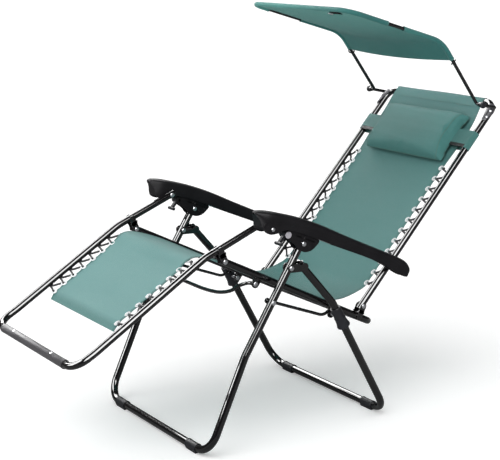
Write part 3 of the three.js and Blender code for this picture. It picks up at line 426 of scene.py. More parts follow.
def gloss_paint():
    finish, w, shader, where = new_finish(
        "gloss_black_paint", Coat_Roughness=0.03, Coat_IOR=1.7, Specular_IOR_Level=0.1
    )
    wear = placed(w, "wear", Place=where, Edge=0.5, Amount=0.35)
    dust = placed(w, "dust", Place=where, Amount=0.02)
    paint = w.blend(wear["Worn"], rgb(10, 9, 11), rgb(48, 47, 50))
    w.fill(
        shader,
        Base_Color=w.blend(dust["Mask"], paint, rgb(70, 69, 66)),
        Roughness=w.range(wear["Smudge"], 0.0, 0.35, 0.14, 0.24),
        Coat_Weight=w.range(wear["Smudge"], 0.0, 0.35, 1.0, 0.8),
    )
    w.bump(shader, w.noise(where, 160.0, 2.0), 0.00003)
    return finish


def moulded_plastic(name, colour, rough, shine=0.5):
    finish, w, shader, where = new_finish(name, Specular_IOR_Level=shine)
    grain = placed(w, "grain", Place=where, Size=1100.0, Depth=1.0)
    wear = placed(w, "wear", Place=where, Edge=0.8, Amount=0.4)
    dust = placed(w, "dust", Place=where, Amount=0.04)
    light = toned(colour, 1.8, 0.012)
    tone = w.blend(w.range(grain["Patch"], 0.3, 0.7, 0.0, 0.25), colour, light)
    tone = w.blend(wear["Worn"], tone, light)
    w.fill(
        shader,
        Base_Color=w.blend(dust["Mask"], tone, rgb(140, 136, 128)),
        Roughness=w.range(wear["Smudge"], 0.0, 0.4, rough, rough + 0.14),
    )
    w.bump(shader, grain["Height"], 0.00006)
    return finish


def zinc_plate(name, colour, rough):
    finish, w, shader, where = new_finish(name)
    wear = placed(w, "wear", Place=where, Edge=0.5, Amount=0.7)
    patch = w.range(w.noise(where, 240.0, 4.0), 0.35, 0.75)
    w.fill(
        shader,
        Base_Color=w.blend(w.times(patch, 0.35), colour, toned(colour, 0.45)),
        Metallic=w.range(patch, 0.0, 1.0, 1.0, 0.9),
        Roughness=w.range(wear["Smudge"], 0.0, 0.7, rough, rough + 0.2),
    )
    w.bump(shader, w.noise(where, 900.0, 2.0), 0.00002)
    return finish


def sling_fabric(name, lit, shade, place="UV", threads=850.0, turn=0.0, streaks=(3.0, 60.0, 3.0), painted_light_bands=()):
    """A woven cloth with soft streaks; each band paints light or shade, fading a tone in between two places
    along it, in metres.
    """
    finish, w, shader, where = new_finish(
        name, place, Specular_IOR_Level=0.12, Sheen_Weight=0.1, Sheen_Roughness=0.5
    )
    if turn:
        axes = w.split(w.mapped(where, Rotation=(0.0, turn, 0.0)))
        where = w.node("ShaderNodeCombineXYZ", X=axes["Y"], Y=axes["X"], Z=axes["Z"]).outputs[0]
    weave = placed(w, "weave", Place=where, Threads_per_metre=threads, Depth=1.0)
    dust = placed(w, "dust", Place=where, Amount=0.05)
    streaked = w.range(w.noise(w.mapped(where, Scale=streaks), 1.0, 4.0, 0.55), 0.3, 0.7)
    soft = w.range(w.noise(where, 5.0, 3.0), 0.3, 0.7)
    cloth = w.blend(w.math("ADD", w.times(streaked, 0.3), w.times(soft, 0.35)), lit, shade)
    cloth = w.blend(w.times(weave["Gap"], 0.22), cloth, toned(shade, 0.35))
    # Painted light and shade: each band lightens or darkens the cloth between two places along it
    for begin, end, most, tone in painted_light_bands:
        cloth = w.blend(w.range(w.split(where)["Y"], begin, end, 0.0, most), cloth, tone)
    cloth = w.blend(w.times(weave["Thread"], 0.18), cloth, toned(lit, 1.16))
    w.fill(
        shader,
        Base_Color=w.blend(dust["Mask"], cloth, rgb(190, 190, 180)),
        Roughness=w.range(weave["Height"], 0.0, 1.0, 0.78, 0.6),
    )
    w.bump(shader, weave["Height"], 0.00025)
    return finish


def braided(name, colour, light):
    finish, w, shader, where = new_finish(name, "UV", Specular_IOR_Level=0.35)
    slant = w.mapped(where, Rotation=(0.0, 0.0, 0.7))
    weave = placed(w, "weave", Place=slant, Threads_per_metre=1500.0, Depth=1.0)
    w.fill(
        shader,
        Base_Color=w.blend(w.times(weave["Thread"], 0.4), colour, light),
        Roughness=w.range(weave["Height"], 0.0, 1.0, 0.8, 0.5),
    )
    w.bump(shader, weave["Height"], 0.0003)
    return finish


def floor_paint():
    """Pale paint with a little light of its own, and darker where gloss mirrors it."""
    finish, w, shader, where = new_finish(
        "studio_floor_paint", Specular_IOR_Level=0.0, Emission_Strength=0.24
    )
    soft = w.range(w.noise(where, 0.6, 2.0), 0.3, 0.7)
    mirrored_ray = w.node("ShaderNodeLightPath").outputs["Is Glossy Ray"]
    w.fill(
        shader,
        Base_Color=w.blend(mirrored_ray, w.blend(soft, grey(0.94), grey(0.92)), grey(0.28)),
        Emission_Color=w.blend(mirrored_ray, WHITE, BLACK),
        Roughness=w.range(soft, 0.0, 1.0, 0.82, 0.9),
    )
    return finish


TUBE_BLACK = gloss_paint()
ARM_BLACK = moulded_plastic("arm_black_plastic", rgb(22, 21, 24), 0.4, 0.12)
CAP_BLACK = moulded_plastic("cap_dark_plastic", rgb(34, 35, 39), 0.3, 0.2)
COVER_GREY = moulded_plastic("cover_satin_grey", rgb(64, 63, 66), 0.3, 0.5)
MOUNT_GREY = moulded_plastic("mount_satin_grey", rgb(72, 71, 76), 0.34, 0.35)
KNOB_GREY = moulded_plastic("knob_grey_plastic", rgb(160, 158, 164), 0.36, 0.3)
ZINC = zinc_plate("zinc_plate", rgb(214, 216, 220), 0.22)
HOOK_PALE = moulded_plastic("hook_pale_gloss", rgb(236, 238, 240), 0.2)
# Painted light and shade along the sling, from its foot end: a paler footrest is painted light, a darker hem
# is doubled cloth and painted shade where it rolls under, a darker seat is painted shade, then that painted
# shade ends, and a darker top is painted shade
SLING_PAINTED_LIGHT_BANDS = [
    (0.62, 0.15, 0.7, rgb(112, 160, 158)),
    (0.036, 0.016, 0.85, rgb(80, 128, 125)),
    (0.42, 0.6, 0.55, rgb(58, 110, 106)),
    (0.78, 0.95, 0.55, rgb(84, 138, 135)),
    (1.40, 1.47, 0.6, rgb(62, 110, 108)),
]
SLING_TEAL = sling_fabric("sling_teal", rgb(84, 139, 136), rgb(69, 123, 120), painted_light_bands=SLING_PAINTED_LIGHT_BANDS)
# Painted shade: the canopy's cloth darkens towards its rear edge, where less light shines through it than at
# its lighter front
CANOPY_PAINTED_SHADE_BANDS = [(0.45, 0.08, 1.0, rgb(42, 104, 101))]
CANOPY_TEAL = sling_fabric(
    "canopy_teal",
    rgb(88, 158, 151),
    rgb(72, 142, 135),
    threads=1100.0,
    streaks=(60.0, 3.0, 3.0),
    painted_light_bands=CANOPY_PAINTED_SHADE_BANDS,
)
PILLOW_TEAL = sling_fabric(
    "pillow_teal", rgb(78, 138, 134), rgb(63, 121, 117), place="Object", turn=BACK_LEAN
)
HEM_TEAL = sling_fabric("hem_teal", rgb(77, 130, 126), rgb(61, 112, 108), threads=1300.0)
CORD_BLACK = braided("cord_black", rgb(26, 27, 30), rgb(52, 53, 57))
DARK_BAND_BLACK = braided("dark_band_black", rgb(13, 14, 16), rgb(26, 28, 30))
THREAD_TEAL = braided("thread_teal", rgb(70, 112, 104), rgb(96, 140, 130))


# Mesh making
def smooth_step(t):
    t = min(1.0, max(0.0, t))
    return t * t * (3 - 2 * t)


def turns(count):
    return [2 * math.pi * k / count for k in range(count)]


def turned_to(up, out, angle):
    return up * math.cos(angle) + out * math.sin(angle)


def bent_route(corners, radii, step=math.radians(6)):
    """The corners' line with each inner corner rounded to its radius."""
    points = [corners[0].copy()]
    for before, corner, after, radius in zip(corners, corners[1:-1], corners[2:], radii):
        back = (before - corner).normalized()
        ahead = (after - corner).normalized()
        turn = math.pi - back.angle(ahead)
        start = corner + back * (radius * math.tan(turn / 2))
        axis = ahead.cross(back).normalized()
        centre = corner + (back + ahead).normalized() * (radius / math.cos(turn / 2))
        steps = max(2, math.ceil(turn / step))
        for k in range(steps + 1):
            points.append(centre + Matrix.Rotation(turn * k / steps, 3, axis) @ (start - centre))
    points.append(corners[-1].copy())
    return points


def curve_point(run, i, t):
    """On the smooth curve through the points, the share t of the way from point i to the next."""
    a, b = run[max(i - 1, 0)], run[i]
    c, d = run[min(i + 1, len(run) - 1)], run[min(i + 2, len(run) - 1)]
    v0, v1 = (c - a) * 0.5, (d - b) * 0.5
    return (b * 2 - c * 2 + v0 + v1) * t**3 + (c * 3 - b * 3 - v0 * 2 - v1) * t**2 + v0 * t + b


def eased(points, count):
    """The smooth curve through the points, with count steps to each stretch."""
    smooth = [curve_point(points, i, k / count) for i in range(len(points) - 1) for k in range(count)]
    return smooth + [points[-1].copy()]


def bridge(bm, ring_a, ring_b, finish=0, closed=True):
    faces = []
    for i in range(len(ring_a) if closed else len(ring_a) - 1):
        j = (i + 1) % len(ring_a)
        quad = [ring_a[i], ring_a[j], ring_b[j], ring_b[i]]
        quad = [v for k, v in enumerate(quad) if v is not quad[k - 1]]
        if len(quad) > 2:
            face = bm.faces.new(quad)
            face.material_index = finish
            faces.append(face)
    return faces


def join_rows(bm, rows, finish=0, closed=False):
    for a, b in zip(rows, rows[1:]):
        bridge(bm, a, b, finish, closed)


def sweep(bm, points, radius, sides=28, finish=0, closed=False):
    """A round bar along the points; each face's UV is the distance round and along, in metres."""
    uv = bm.loops.layers.uv.verify()
    count = len(points)
    rings, along, run, up = [], [], 0.0, None
    for i, p in enumerate(points):
        before = points[i - 1] if closed or i else p
        after = points[(i + 1) % count] if closed or i < count - 1 else p
        t = ((after - p).normalized() + (p - before).normalized()).normalized()
        up = up or t.orthogonal().normalized()
        up = (up - t * up.dot(t)).normalized()
        out = t.cross(up)
        rings.append([bm.verts.new(in_frame(p + turned_to(up, out, a) * radius)) for a in turns(sides)])
        run += (p - before).length * MM if i else 0
        along.append(run)
    width = 2 * math.pi * radius * MM / sides
    for a in range(count if closed else count - 1):
        b = (a + 1) % count
        for k, face in enumerate(bridge(bm, rings[a], rings[b], finish)):
            for loop, (j, end) in zip(face.loops, ((k, a), (k + 1, a), (k + 1, b), (k, b))):
                loop[uv].uv = (j * width, along[end])
    if not closed:
        for ring in (rings[0], rings[-1]):
            bm.faces.new(ring).material_index = finish


def lathe(bm, origin, axis, profile, sides=36, finish=0, closed=False):
    """A round piece: profile is pairs of radius and distance along the axis."""
    axis = axis.normalized()
    up = axis.orthogonal().normalized()
    out = axis.cross(up)
    rings = []
    for radius, distance in profile:
        middle = origin + axis * distance
        if radius:
            ring = [middle + turned_to(up, out, a) * radius for a in turns(sides)]
            rings.append([bm.verts.new(in_frame(p)) for p in ring])
        else:
            rings.append([bm.verts.new(in_frame(middle))] * sides)
    join_rows(bm, rings + rings[:1] if closed else rings, finish, True)


def turned(bm, p, side, profile, sides=32, finish=0, closed=False):
    """A round piece across the lounger: profile is pairs of radius and distance from its middle plane."""
    lathe(bm, spot(p), Vector((0, side, 0)), profile, sides, finish, closed)


def plate(bm, outline, y_low, y_high, round_edge=0.5):
    low, high = [[bm.verts.new(in_frame((p.x, y, p.y))) for p in outline] for y in (y_low, y_high)]
    faces = [bm.faces.new(low), bm.faces.new(high)]
    bridge(bm, low, high)
    rim = [e for face in faces for e in face.edges]
    bmesh.ops.bevel(
        bm, geom=rim, offset=round_edge * MM, segments=2, profile=0.6, affect="EDGES", clamp_overlap=True
    )


def side_plate(bm, outline, side, a, b, round_edge=0.5):
    low, high = (a, b) if side > 0 else (-b, -a)
    plate(bm, outline, low, high, round_edge)


def cheeks(bm, outline, side, half, inner, outer, round_edge=0.5):
    """A plate on each side of a tube."""
    side_plate(bm, outline, side, half - outer, half - inner, round_edge)
    side_plate(bm, outline, side, half + inner, half + outer, round_edge)


def strap_outline(a, b, radius_a, radius_b=None, steps=14):
    radius_b = radius_b or radius_a
    d = toward(a, b)
    heading = math.atan2(d.y, d.x)
    points = []
    for centre, radius, start in ((a, radius_a, heading + math.pi / 2), (b, radius_b, heading - math.pi / 2)):
        for i in range(steps + 1):
            angle = start + math.pi * i / steps
            points.append(centre + flat(math.cos(angle), math.sin(angle)) * radius)
    return points


def dome(radius, base, height, steps=5):
    """The profile of a rivet's domed head, from its rim to its top."""
    rise = [math.pi / 2 * k / steps for k in range(steps + 1)]
    return [(radius * math.cos(a) if a < math.pi / 2 else 0, base + height * math.sin(a)) for a in rise]


def far_head(y):
    return dome(RIVET_HEAD, y, HEAD_HEIGHT)


def near_head(y):
    return [(r, 2 * y - at) for r, at in far_head(y)][::-1]


def piece(name, bm, body, finishes, stands_for=(), crease=38, turn_out=True):
    """Makes a piece of the mesh, shaded smooth up to the crease angle, and dresses it where it has a body."""
    if turn_out:
        bmesh.ops.recalc_face_normals(bm, faces=bm.faces)
    for face in bm.faces:
        face.smooth = True
    for edge in bm.edges:
        if len(edge.link_faces) == 2:
            edge.smooth = edge.calc_face_angle(0) < math.radians(crease)
    mesh = bpy.data.meshes.new(name)
    bm.to_mesh(mesh)
    bm.free()
    for finish in finishes:
        mesh.materials.append(finish)
    made = bpy.data.objects.new(name, mesh)
    scene.collection.objects.link(made)
    if body:
        dress(made, body, stands_for)
    return made


def dress(made, body, stands_for=()):
    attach(made, body)
    if stands_for:
        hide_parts(*stands_for)


def mirrored(half):
    return [*half, *[Vector((p.x, -p.y, p.z)) for p in reversed(half)]]


# Frames
def tube_frame(name, body, node, half, path, bends, radius, lugs=()):
    """A frame bent from one tube; each lug is (its pin, its root on the tube, inner face, outer face)."""
    bm = bmesh.new()
    sweep(bm, bent_route(mirrored([spot(p, -half) for p in path]), [*bends, *reversed(bends)]), radius)
    for _, side in SIDES:
        for pin, root, inner, outer in lugs:
            side_plate(bm, strap_outline(pin, root, LUG_END, LUG_ROOT), side, inner, outer)
    piece(name, bm, body, [TUBE_BLACK], [node])


def leg_frames():
    lock_overrun = 6.5
    front = (LOCK_PIVOT + FRONT_RUN * lock_overrun, FRONT_BEND, FRONT_BAR)
    rear = (REAR_TOP, REAR_BEND, REAR_BAR)
    tube_frame("front_leg_tube", "front_legs", "front_leg_frame", LEG_HALF, front, LEG_BENDS, LEG_TUBE)
    tube_frame("rear_leg_tube", "rear_legs", "rear_leg_frame", LEG_HALF, rear, LEG_BENDS, LEG_TUBE)


def seat_frame():
    overrun, bend, half_plate, sink = 12, 45, 2.5, 5
    down = -left_of(SEAT_RUN) * sink
    lugs = []
    for pin in (SEAT_PIN, BOW_PIVOT):
        root = KNEE + SEAT_RUN * (pin - KNEE).dot(SEAT_RUN) + down
        lugs.append((pin, root, SEAT_HALF - half_plate, SEAT_HALF + half_plate))
    path = (KNEE - SEAT_RUN * overrun, SEAT_REAR)
    tube_frame("seat_tube", "seat", "seat_frame", SEAT_HALF, path, [bend], FRAME_TUBE, lugs)


def back_frame():
    overrun, thick = 12, 5
    root = on_back((ARM_REAR - BACK_HINGE).dot(BACK_RUN))
    outer = SEAT_HALF + FRAME_TUBE
    path = (on_back(-overrun), BACK_TOP)
    lug = (ARM_REAR, root, outer - thick, outer)
    tube_frame("back_tube", "back", "back_frame", SEAT_HALF, path, [BACK_BEND], FRAME_TUBE, [lug])


def footrest_frame():
    overrun, bends = 12, (120, 120, 45)
    path = (ARM_FRONT + KNEE_RUN * overrun, FOOT_KNEE, FOOT_SHIN, FOOT_END)
    tube_frame("footrest_tube", "footrest", "footrest_frame", SEAT_HALF, path, bends, FRAME_TUBE)


def pin_piece(name, pivot, side, inner, outer, body, node):
    """A rivet through its plates, with a domed head at each end."""
    bm = bmesh.new()
    turned(bm, pivot, side, [*near_head(inner), (RIVET, inner), (RIVET, outer), *far_head(outer)])
    piece(name, bm, body, [ZINC], [node])


def leg_bracket(word, side):
    bm = bmesh.new()
    run = toward(REAR_TOP, REAR_BEND)
    inner = LEG_TUBE + GAP
    outer = inner + PLATE
    eye, grip, cap_half, cap_back = 12, 12, 6, 6.3
    cheeks(bm, strap_outline(LEG_HINGE, REAR_TOP + run * grip, eye), side, LEG_HALF, inner, outer)
    cap = strap_outline(REAR_TOP - run * cap_back, REAR_TOP - run * cap_half, cap_half)
    side_plate(bm, cap, side, LEG_HALF - outer, LEG_HALF + outer)
    piece(f"leg_bracket_{word}", bm, "rear_legs", [TUBE_BLACK], [f"rear_leg_bracket_{word}"])


def foot_cap(name, bar, side, body, node):
    """A sleeve round the floor bar, flat underneath, with a proud ring at each end."""
    bm = bmesh.new()
    bore = LEG_TUBE + 0.2
    outer = LEG_TUBE + 2.5
    half, from_side = 26, 58
    centre = LEG_HALF - from_side - half
    rise = [(bore, 0), (outer - 0.8, 0), (outer, 0.8), (outer, 5), (outer - 0.7, 5.6)]
    profile = [(r, y - half) for r, y in rise] + [(r, half - y) for r, y in reversed(rise)]
    turned(bm, bar, side, [(r, centre + y) for r, y in profile], closed=True)
    sole = [flat(bar.x + x, z) for x, z in ((-9, 0), (9, 0), (10.5, 4.5), (-10.5, 4.5))]
    side_plate(bm, sole, side, centre - half, centre + half, 0.6)
    piece(name, bm, body, [CAP_BLACK], [node])


def leg_slide(word, side):
    """A sleeve on the rear leg with a flared low end."""
    bm = bmesh.new()
    bore = LEG_TUBE + 0.3
    outer = bore + 4.1
    flare = outer + 4
    profile = [
        (bore, 20), (outer - 1, 20), (outer, 21), (outer, 52), (outer + 1.2, 54), (outer + 1.2, 57),
        (outer + 0.4, 59), (outer + 1.4, 72), (flare, 82), (flare, 85.4), (flare - 0.6, 86), (bore, 86),
    ]
    lathe(bm, spot(REAR_BEND, side * LEG_HALF), spot(REAR_RUN), profile, closed=True)
    piece(f"slide_sleeve_{word}", bm, "leg_slides", [CAP_BLACK], [f"leg_slide_{word}"])


def seat_pin(word, side):
    bm = bmesh.new()
    inner = SEAT_HALF - 2.8
    turned(bm, SEAT_PIN, side, [*near_head(inner), (RIVET, inner), (RIVET, SLIDE_FACE), (0, SLIDE_FACE)])
    piece(f"slide_pin_{word}", bm, "seat_pins", [ZINC], [f"seat_pin_{word}"])


def link_rod(word, side):
    """A bent rod with an eye pressed flat round the pin at each end."""
    bm = bmesh.new()
    inset, bend, eye_half, eye, chamfer = 4, 30, 2.7, 8, 0.6
    ends = [pin + toward(pin, LINK_ELBOW) * inset for pin in (LINK_PIVOT, LINK_PIN)]
    corners = [spot(p, side * LINK_HALF) for p in (ends[0], LINK_ELBOW, ends[1])]
    sweep(bm, bent_route(corners, [bend]), ROD, 20)
    low, high = LINK_HALF - eye_half, LINK_HALF + eye_half
    rim = [(0, low), (eye - chamfer, low), (eye, low + chamfer), (eye, high - chamfer), (eye - chamfer, high)]
    leg = LEG_HALF + LEG_TUBE + GAP
    turned(bm, LINK_PIVOT, side, [*rim, (RIVET, high), (RIVET, leg)])
    turned(bm, LINK_PIVOT, side, [(RIVET, leg), *far_head(leg)], finish=1)
    turned(bm, LINK_PIN, side, [*rim, (RIVET, high), (RIVET, SLIDE_FACE), (0, SLIDE_FACE)])
    piece(f"link_bar_{word}", bm, "link_rods", [TUBE_BLACK, ZINC], [f"link_rod_{word}"])


def bow_rod():
    """The rod that bows down and forward under the seat, from eye to eye."""
    bm = bmesh.new()
    y, eye = SEAT_HALF - 5.5, 8
    path = [
        (180, 454, y - 1), (162, 458, y - 5), (147, 448, y - 26), (136, 430, 190), (129, 416, 140),
        (126, 410, 72), (126, 409, 0),
    ]
    half = [Vector((x, -across, z)) for x, z, across in path]
    sweep(bm, eased([*half[:-1], *mirrored(half)[len(half) :]], 6), BOW_ROD, 20)
    low, high, outer = y - 2.7, y + 2.7, SEAT_HALF + 2.8
    for _, side in SIDES:
        turned(bm, BOW_PIVOT, side, [(0, y - 3), (eye, low), (eye, high), (RIVET, high), (RIVET, outer)])
        turned(bm, BOW_PIVOT, side, [(RIVET, outer), *far_head(outer)], finish=1)
    piece("bow_bar", bm, "seat", [TUBE_BLACK, ZINC], ["seat_bow_rod"])


def clevis(name, side, pivot, root, run, body, node):
    """Two ears beside a tube, from the pivot to a saddle over the tube."""
    bm = bmesh.new()
    inner = FRAME_TUBE + GAP
    outer = inner + PLATE
    eye, shank, neck, saddle, top = 9.5, 9, 8, 13, 6
    cheeks(bm, strap_outline(pivot, root, eye, shank), side, SEAT_HALF, inner, outer)
    crown = root + toward(root, pivot) * (inner + PLATE / 2)
    waist = pivot.lerp(root, 0.35)
    web = [waist - run * neck, waist + run * neck, crown + run * saddle, crown - run * saddle]
    cheeks(bm, web, side, SEAT_HALF, inner, outer)
    cap = strap_outline(crown - run * top, crown + run * top, PLATE / 2)
    side_plate(bm, cap, side, SEAT_HALF - outer, SEAT_HALF + outer)
    piece(name, bm, body, [TUBE_BLACK], [node])


def end_bar_cover():
    """A thin sleeve over the end bar, with a lip at each end and two rivets on top."""
    bm = bmesh.new()
    bore = FRAME_TUBE + 0.3
    outer = bore + 2.1
    half = SEAT_HALF - 52
    lip = outer + 0.5
    rivet_radius, rivet_places = 4.6, (-118, 122)
    end = [(bore, half), (lip - 0.4, half), (lip, half - 0.5), (lip, half - 5), (outer, half - 6)]
    profile = [(r, -y) for r, y in end] + [(outer, 0)] + [(r, y) for r, y in reversed(end)]
    turned(bm, FOOT_END, 1, profile, 40, closed=True)
    up = spot(FOOT_FACE).lerp(Vector((0, 0, 1)), 0.4).normalized()
    for y in rivet_places:
        head = [(rivet_radius, 0), *dome(rivet_radius, 0.6, 1.5)]
        lathe(bm, spot(FOOT_END, y) + up * (outer - 0.9), up, head, 20, 1)
    piece("end_bar_sleeve", bm, "footrest", [COVER_GREY, ZINC], ["foot_bar_cover"])


# Arms: top and low edge in the side view, as shares of the arm's length and height
ARM_TOP = [
    (-0.13, 0.5), (-0.1, 0.6), (-0.06, 0.7), (0, 0.8), (0.138, 0.96), (0.295, 1), (0.491, 0.9),
    (0.659, 0.83), (0.816, 0.78), (0.94, 0.72), (1, 0.61), (1.036, 0.3),
]
ARM_LOW = [
    (-0.13, 0.34), (-0.1, 0.12), (-0.065, -0.4), (-0.02, -0.5), (0.02, -0.32), (0.067, 0.04), (0.197, 0.17),
    (0.456, 0.13), (0.76, 0.11), (0.86, 0), (0.975, -0.24), (1.028, -0.2), (1.036, 0.0),
]
# Its inner and outer faces in the plan view: distance along, and out from ARM_INNER
ARM_INSIDE = [(-70, 17), (-51, 9), (-29, 1.5), (0, 0), (60, 0), (460, 0), (480, 1)]
ARM_OUTSIDE = [
    (-70, 34), (-51, 43), (-29, 52), (0, 54), (40, 54), (120, 50.5), (210, 46), (460, 31), (480, 29),
]
ARM_WALL = 3.2
ARM_EDGE = 0.7
ARM_STEPS = 84
NOSE_CLOSED = 38
HEEL_CLOSED = 9


def along_curve(table, s):
    """A smooth value between the table's pairs."""
    last = len(table) - 1
    i = next((k for k in range(last) if s <= table[k + 1][0]), last - 1)

    def slope(k):
        a, b = table[max(k - 1, 0)], table[min(k + 1, last)]
        return (b[1] - a[1]) / (b[0] - a[0])

    (x0, h0), (x1, h1) = table[i], table[i + 1]
    span = x1 - x0
    t = min(1, max(0, (s - x0) / span))
    m0, m1 = slope(i) * span, slope(i + 1) * span
    cubes = (2 * t**3 - 3 * t**2 + 1, t**3 - 2 * t**2 + t, 3 * t**2 - 2 * t**3, t**3 - t**2)
    return cubes[0] * h0 + cubes[1] * m0 + cubes[2] * h1 + cubes[3] * m1


def arm_top(s):
    return along_curve(ARM_TOP, s / ARM_LENGTH) * ARM_HEIGHT


def arm_section(s, pinch):
    """Across the arm at s: up the inner side, over the crowned top and down the outer side."""
    top, low = arm_top(s), along_curve(ARM_LOW, s / ARM_LENGTH) * ARM_HEIGHT
    inner, outer = [ARM_INNER + along_curve(table, s) for table in (ARM_INSIDE, ARM_OUTSIDE)]
    r = min(9, (outer - inner) * 0.28, max(1.5, (top - low) * 0.45))
    inner, outer = inner + pinch, outer - pinch
    top -= pinch
    low += pinch * 0.6
    crown, groove, groove_lip, steps = 2.2, 1.1, 1.2, 5
    points = [(inner, low), (inner, (low + top - r) / 2), (inner, top - r)]
    for k in range(1, steps + 1):
        a = math.pi - math.pi / 2 * k / steps
        points.append((inner + r + r * math.cos(a), top - r + r * math.sin(a)))
    for k in range(1, steps + 1):
        t = k / (steps + 1)
        points.append((inner + r + (outer - inner - 2 * r) * t, top + crown * math.sin(math.pi * t)))
    for k in range(steps + 1):
        a = math.pi / 2 - math.pi / 2 * k / steps
        points.append((outer - r + r * math.cos(a), top - r + r * math.sin(a)))
    ledge = top - r - (top - r - low) * 0.35
    inset = outer - groove
    return points + [(outer, ledge + groove_lip), (inset, ledge), (inset, (ledge + low) / 2), (inset, low)]


def armrest(word, side):
    bm = bmesh.new()
    screw, screw_radius, screw_face = flat(193, 617), 5.6, ARM_INNER + 53
    turned(bm, screw, side, [(screw_radius, screw_face), *dome(screw_radius, screw_face + 0.6, 2.0)], 24, 1)
    boss, face = flat(172, 629), ARM_INNER + 50.5
    boss_profile = [(7.5, -2), (7.5, 0.8), (6.6, 1.3), (5.2, 1.3), (4.6, 0.4), (0, 0.4)]
    turned(bm, boss, side, [(r, face + y) for r, y in boss_profile], 28)
    start, end = ARM_TOP[0][0] * ARM_LENGTH, ARM_TOP[-1][0] * ARM_LENGTH
    rounding = 5
    stations = [(start, 4.5), (start + 1, 2.6), (start + 2.6, 1.2), (start + rounding, 0)]
    straight = end - start - 2 * rounding
    stations += [(start + rounding + straight * k / ARM_STEPS, 0) for k in range(1, ARM_STEPS + 1)]
    stations += [(end - 2.6, 1.2), (end - 1, 2.6), (end, 4.5)]
    rings = []
    for s, pinch in stations:
        rings.append([bm.verts.new(in_frame(spot(on_arm(s, h), side * y))) for y, h in arm_section(s, pinch)])
    for (s, _), ring_a, ring_b in zip(stations, rings, rings[1:]):
        bridge(bm, ring_a, ring_b, closed=s < -NOSE_CLOSED or s > ARM_LENGTH + HEEL_CLOSED)
    for end_ring in (rings[0], rings[-1]):
        bm.faces.new(end_ring)
    bmesh.ops.recalc_face_normals(bm, faces=bm.faces)
    middle = in_frame(spot(on_arm(ARM_LENGTH / 2, 0), side * (ARM_INNER + 22)))
    highest = max(bm.faces, key=lambda f: f.calc_center_median().z)
    if highest.normal.dot(highest.calc_center_median() - middle) < 0:
        bmesh.ops.reverse_faces(bm, faces=bm.faces)
    name, finishes = f"arm_shell_{word}", [ARM_BLACK, ZINC]
    made = piece(name, bm, "arms", finishes, [f"armrest_{word}"], 50, turn_out=False)
    wall = made.modifiers.new("wall", "SOLIDIFY")
    wall.thickness = ARM_WALL * MM
    wall.offset = -1
    edge = made.modifiers.new("edge", "BEVEL")
    edge.width = ARM_EDGE * MM
    edge.segments = 2
    edge.limit_method = "ANGLE"
    edge.angle_limit = math.radians(50)


def arm_rail(word, side):
    """A strip under the arm's top, on a leg at each end, that the lock slides along."""
    bm = bmesh.new()
    front, rear, leg, low, high, half, below_top = 14, 205, 13.5, 6, 15, 9, 4.9
    roof = [(s, arm_top(s) - below_top) for s in (rear, rear - leg, front + leg, front)]
    outline = [(front, low), (rear, low), *roof[:2], (rear - leg, high), (front + leg, high), *roof[2:]]
    side_plate(bm, [on_arm(s, h) for s, h in outline], side, LEG_HALF - half, LEG_HALF + half, 0.8)
    piece(f"arm_slide_rail_{word}", bm, "arms", [ZINC], [f"arm_rail_{word}"])


def arm_bolts(word, side):
    head = ARM_INNER + 4.3
    front, rear = SEAT_HALF - FRAME_TUBE - GAP, SEAT_HALF + FRAME_TUBE - 5.3
    pin_piece(f"arm_front_pin_{word}", ARM_FRONT, side, front, head, "arms", f"arm_front_bolt_{word}")
    pin_piece(f"arm_rear_pin_{word}", ARM_REAR, side, rear, head, "arm_rear_bolts", f"arm_rear_bolt_{word}")


# Locks
LOCK_INNER = LEG_TUBE + 0.5
LOCK_OUTER = LOCK_INNER + 3
LEVER_PIVOT = on_arm(LEVER_ALONG, -8)


def smooth_outline(points, rounds=3, long_side=8):
    """Rounds an outline's corners: each round cuts every corner between two long sides."""
    for _ in range(rounds):
        cut = []
        for a, b in zip(points, points[1:] + points[:1]):
            shares = (0.12, 0.88) if (b - a).length > long_side else (0.5,)
            cut += [a.lerp(b, share) for share in shares]
        points = cut
    return points


def lock_housing(word, side):
    bm = bmesh.new()
    nose, half_length, depth, top_half = LEVER_ALONG - 9, 50, 38, 34
    lower = [(-0.6, -0.68), (-0.24, -1), (0.28, -1), (0.68, -0.68), (1, 0.1)]
    cheek = [(nose, 1), (nose, -17), *[(LOCK_ALONG + s * half_length, h * depth) for s, h in lower]]
    cheek += [(LOCK_ALONG + top_half, 12), (LOCK_ALONG - top_half, 12)]
    cheeks(bm, smooth_outline([on_arm(s, h) for s, h in cheek]), side, LEG_HALF, LOCK_INNER, LOCK_OUTER, 0.8)
    web = [on_arm(LOCK_ALONG + s * top_half, h) for s, h in ((-1, -4), (1, -4), (1, -1), (-1, -1))]
    side_plate(bm, web, side, LEG_HALF - LOCK_OUTER, LEG_HALF + LOCK_OUTER, 0.4)
    for away in (1, -1):
        face = LEG_HALF + away * LOCK_OUTER
        for share, drop, size in ((-0.2, 0, 6.2), (0.35, 18, 4.2), (0.62, 8, 3.6)):
            boss = [(size, 0), (size, 0.9), (size - 1.2, 1.3), (size - 2.4, 0.5), (0, 0.5)]
            p = on_arm(LOCK_ALONG + share * half_length, -drop)
            turned(bm, p, side, [(r, face + away * y) for r, y in boss], 20)
    piece(f"lock_shell_{word}", bm, "lock_housings", [ARM_BLACK], [f"lock_housing_{word}"])


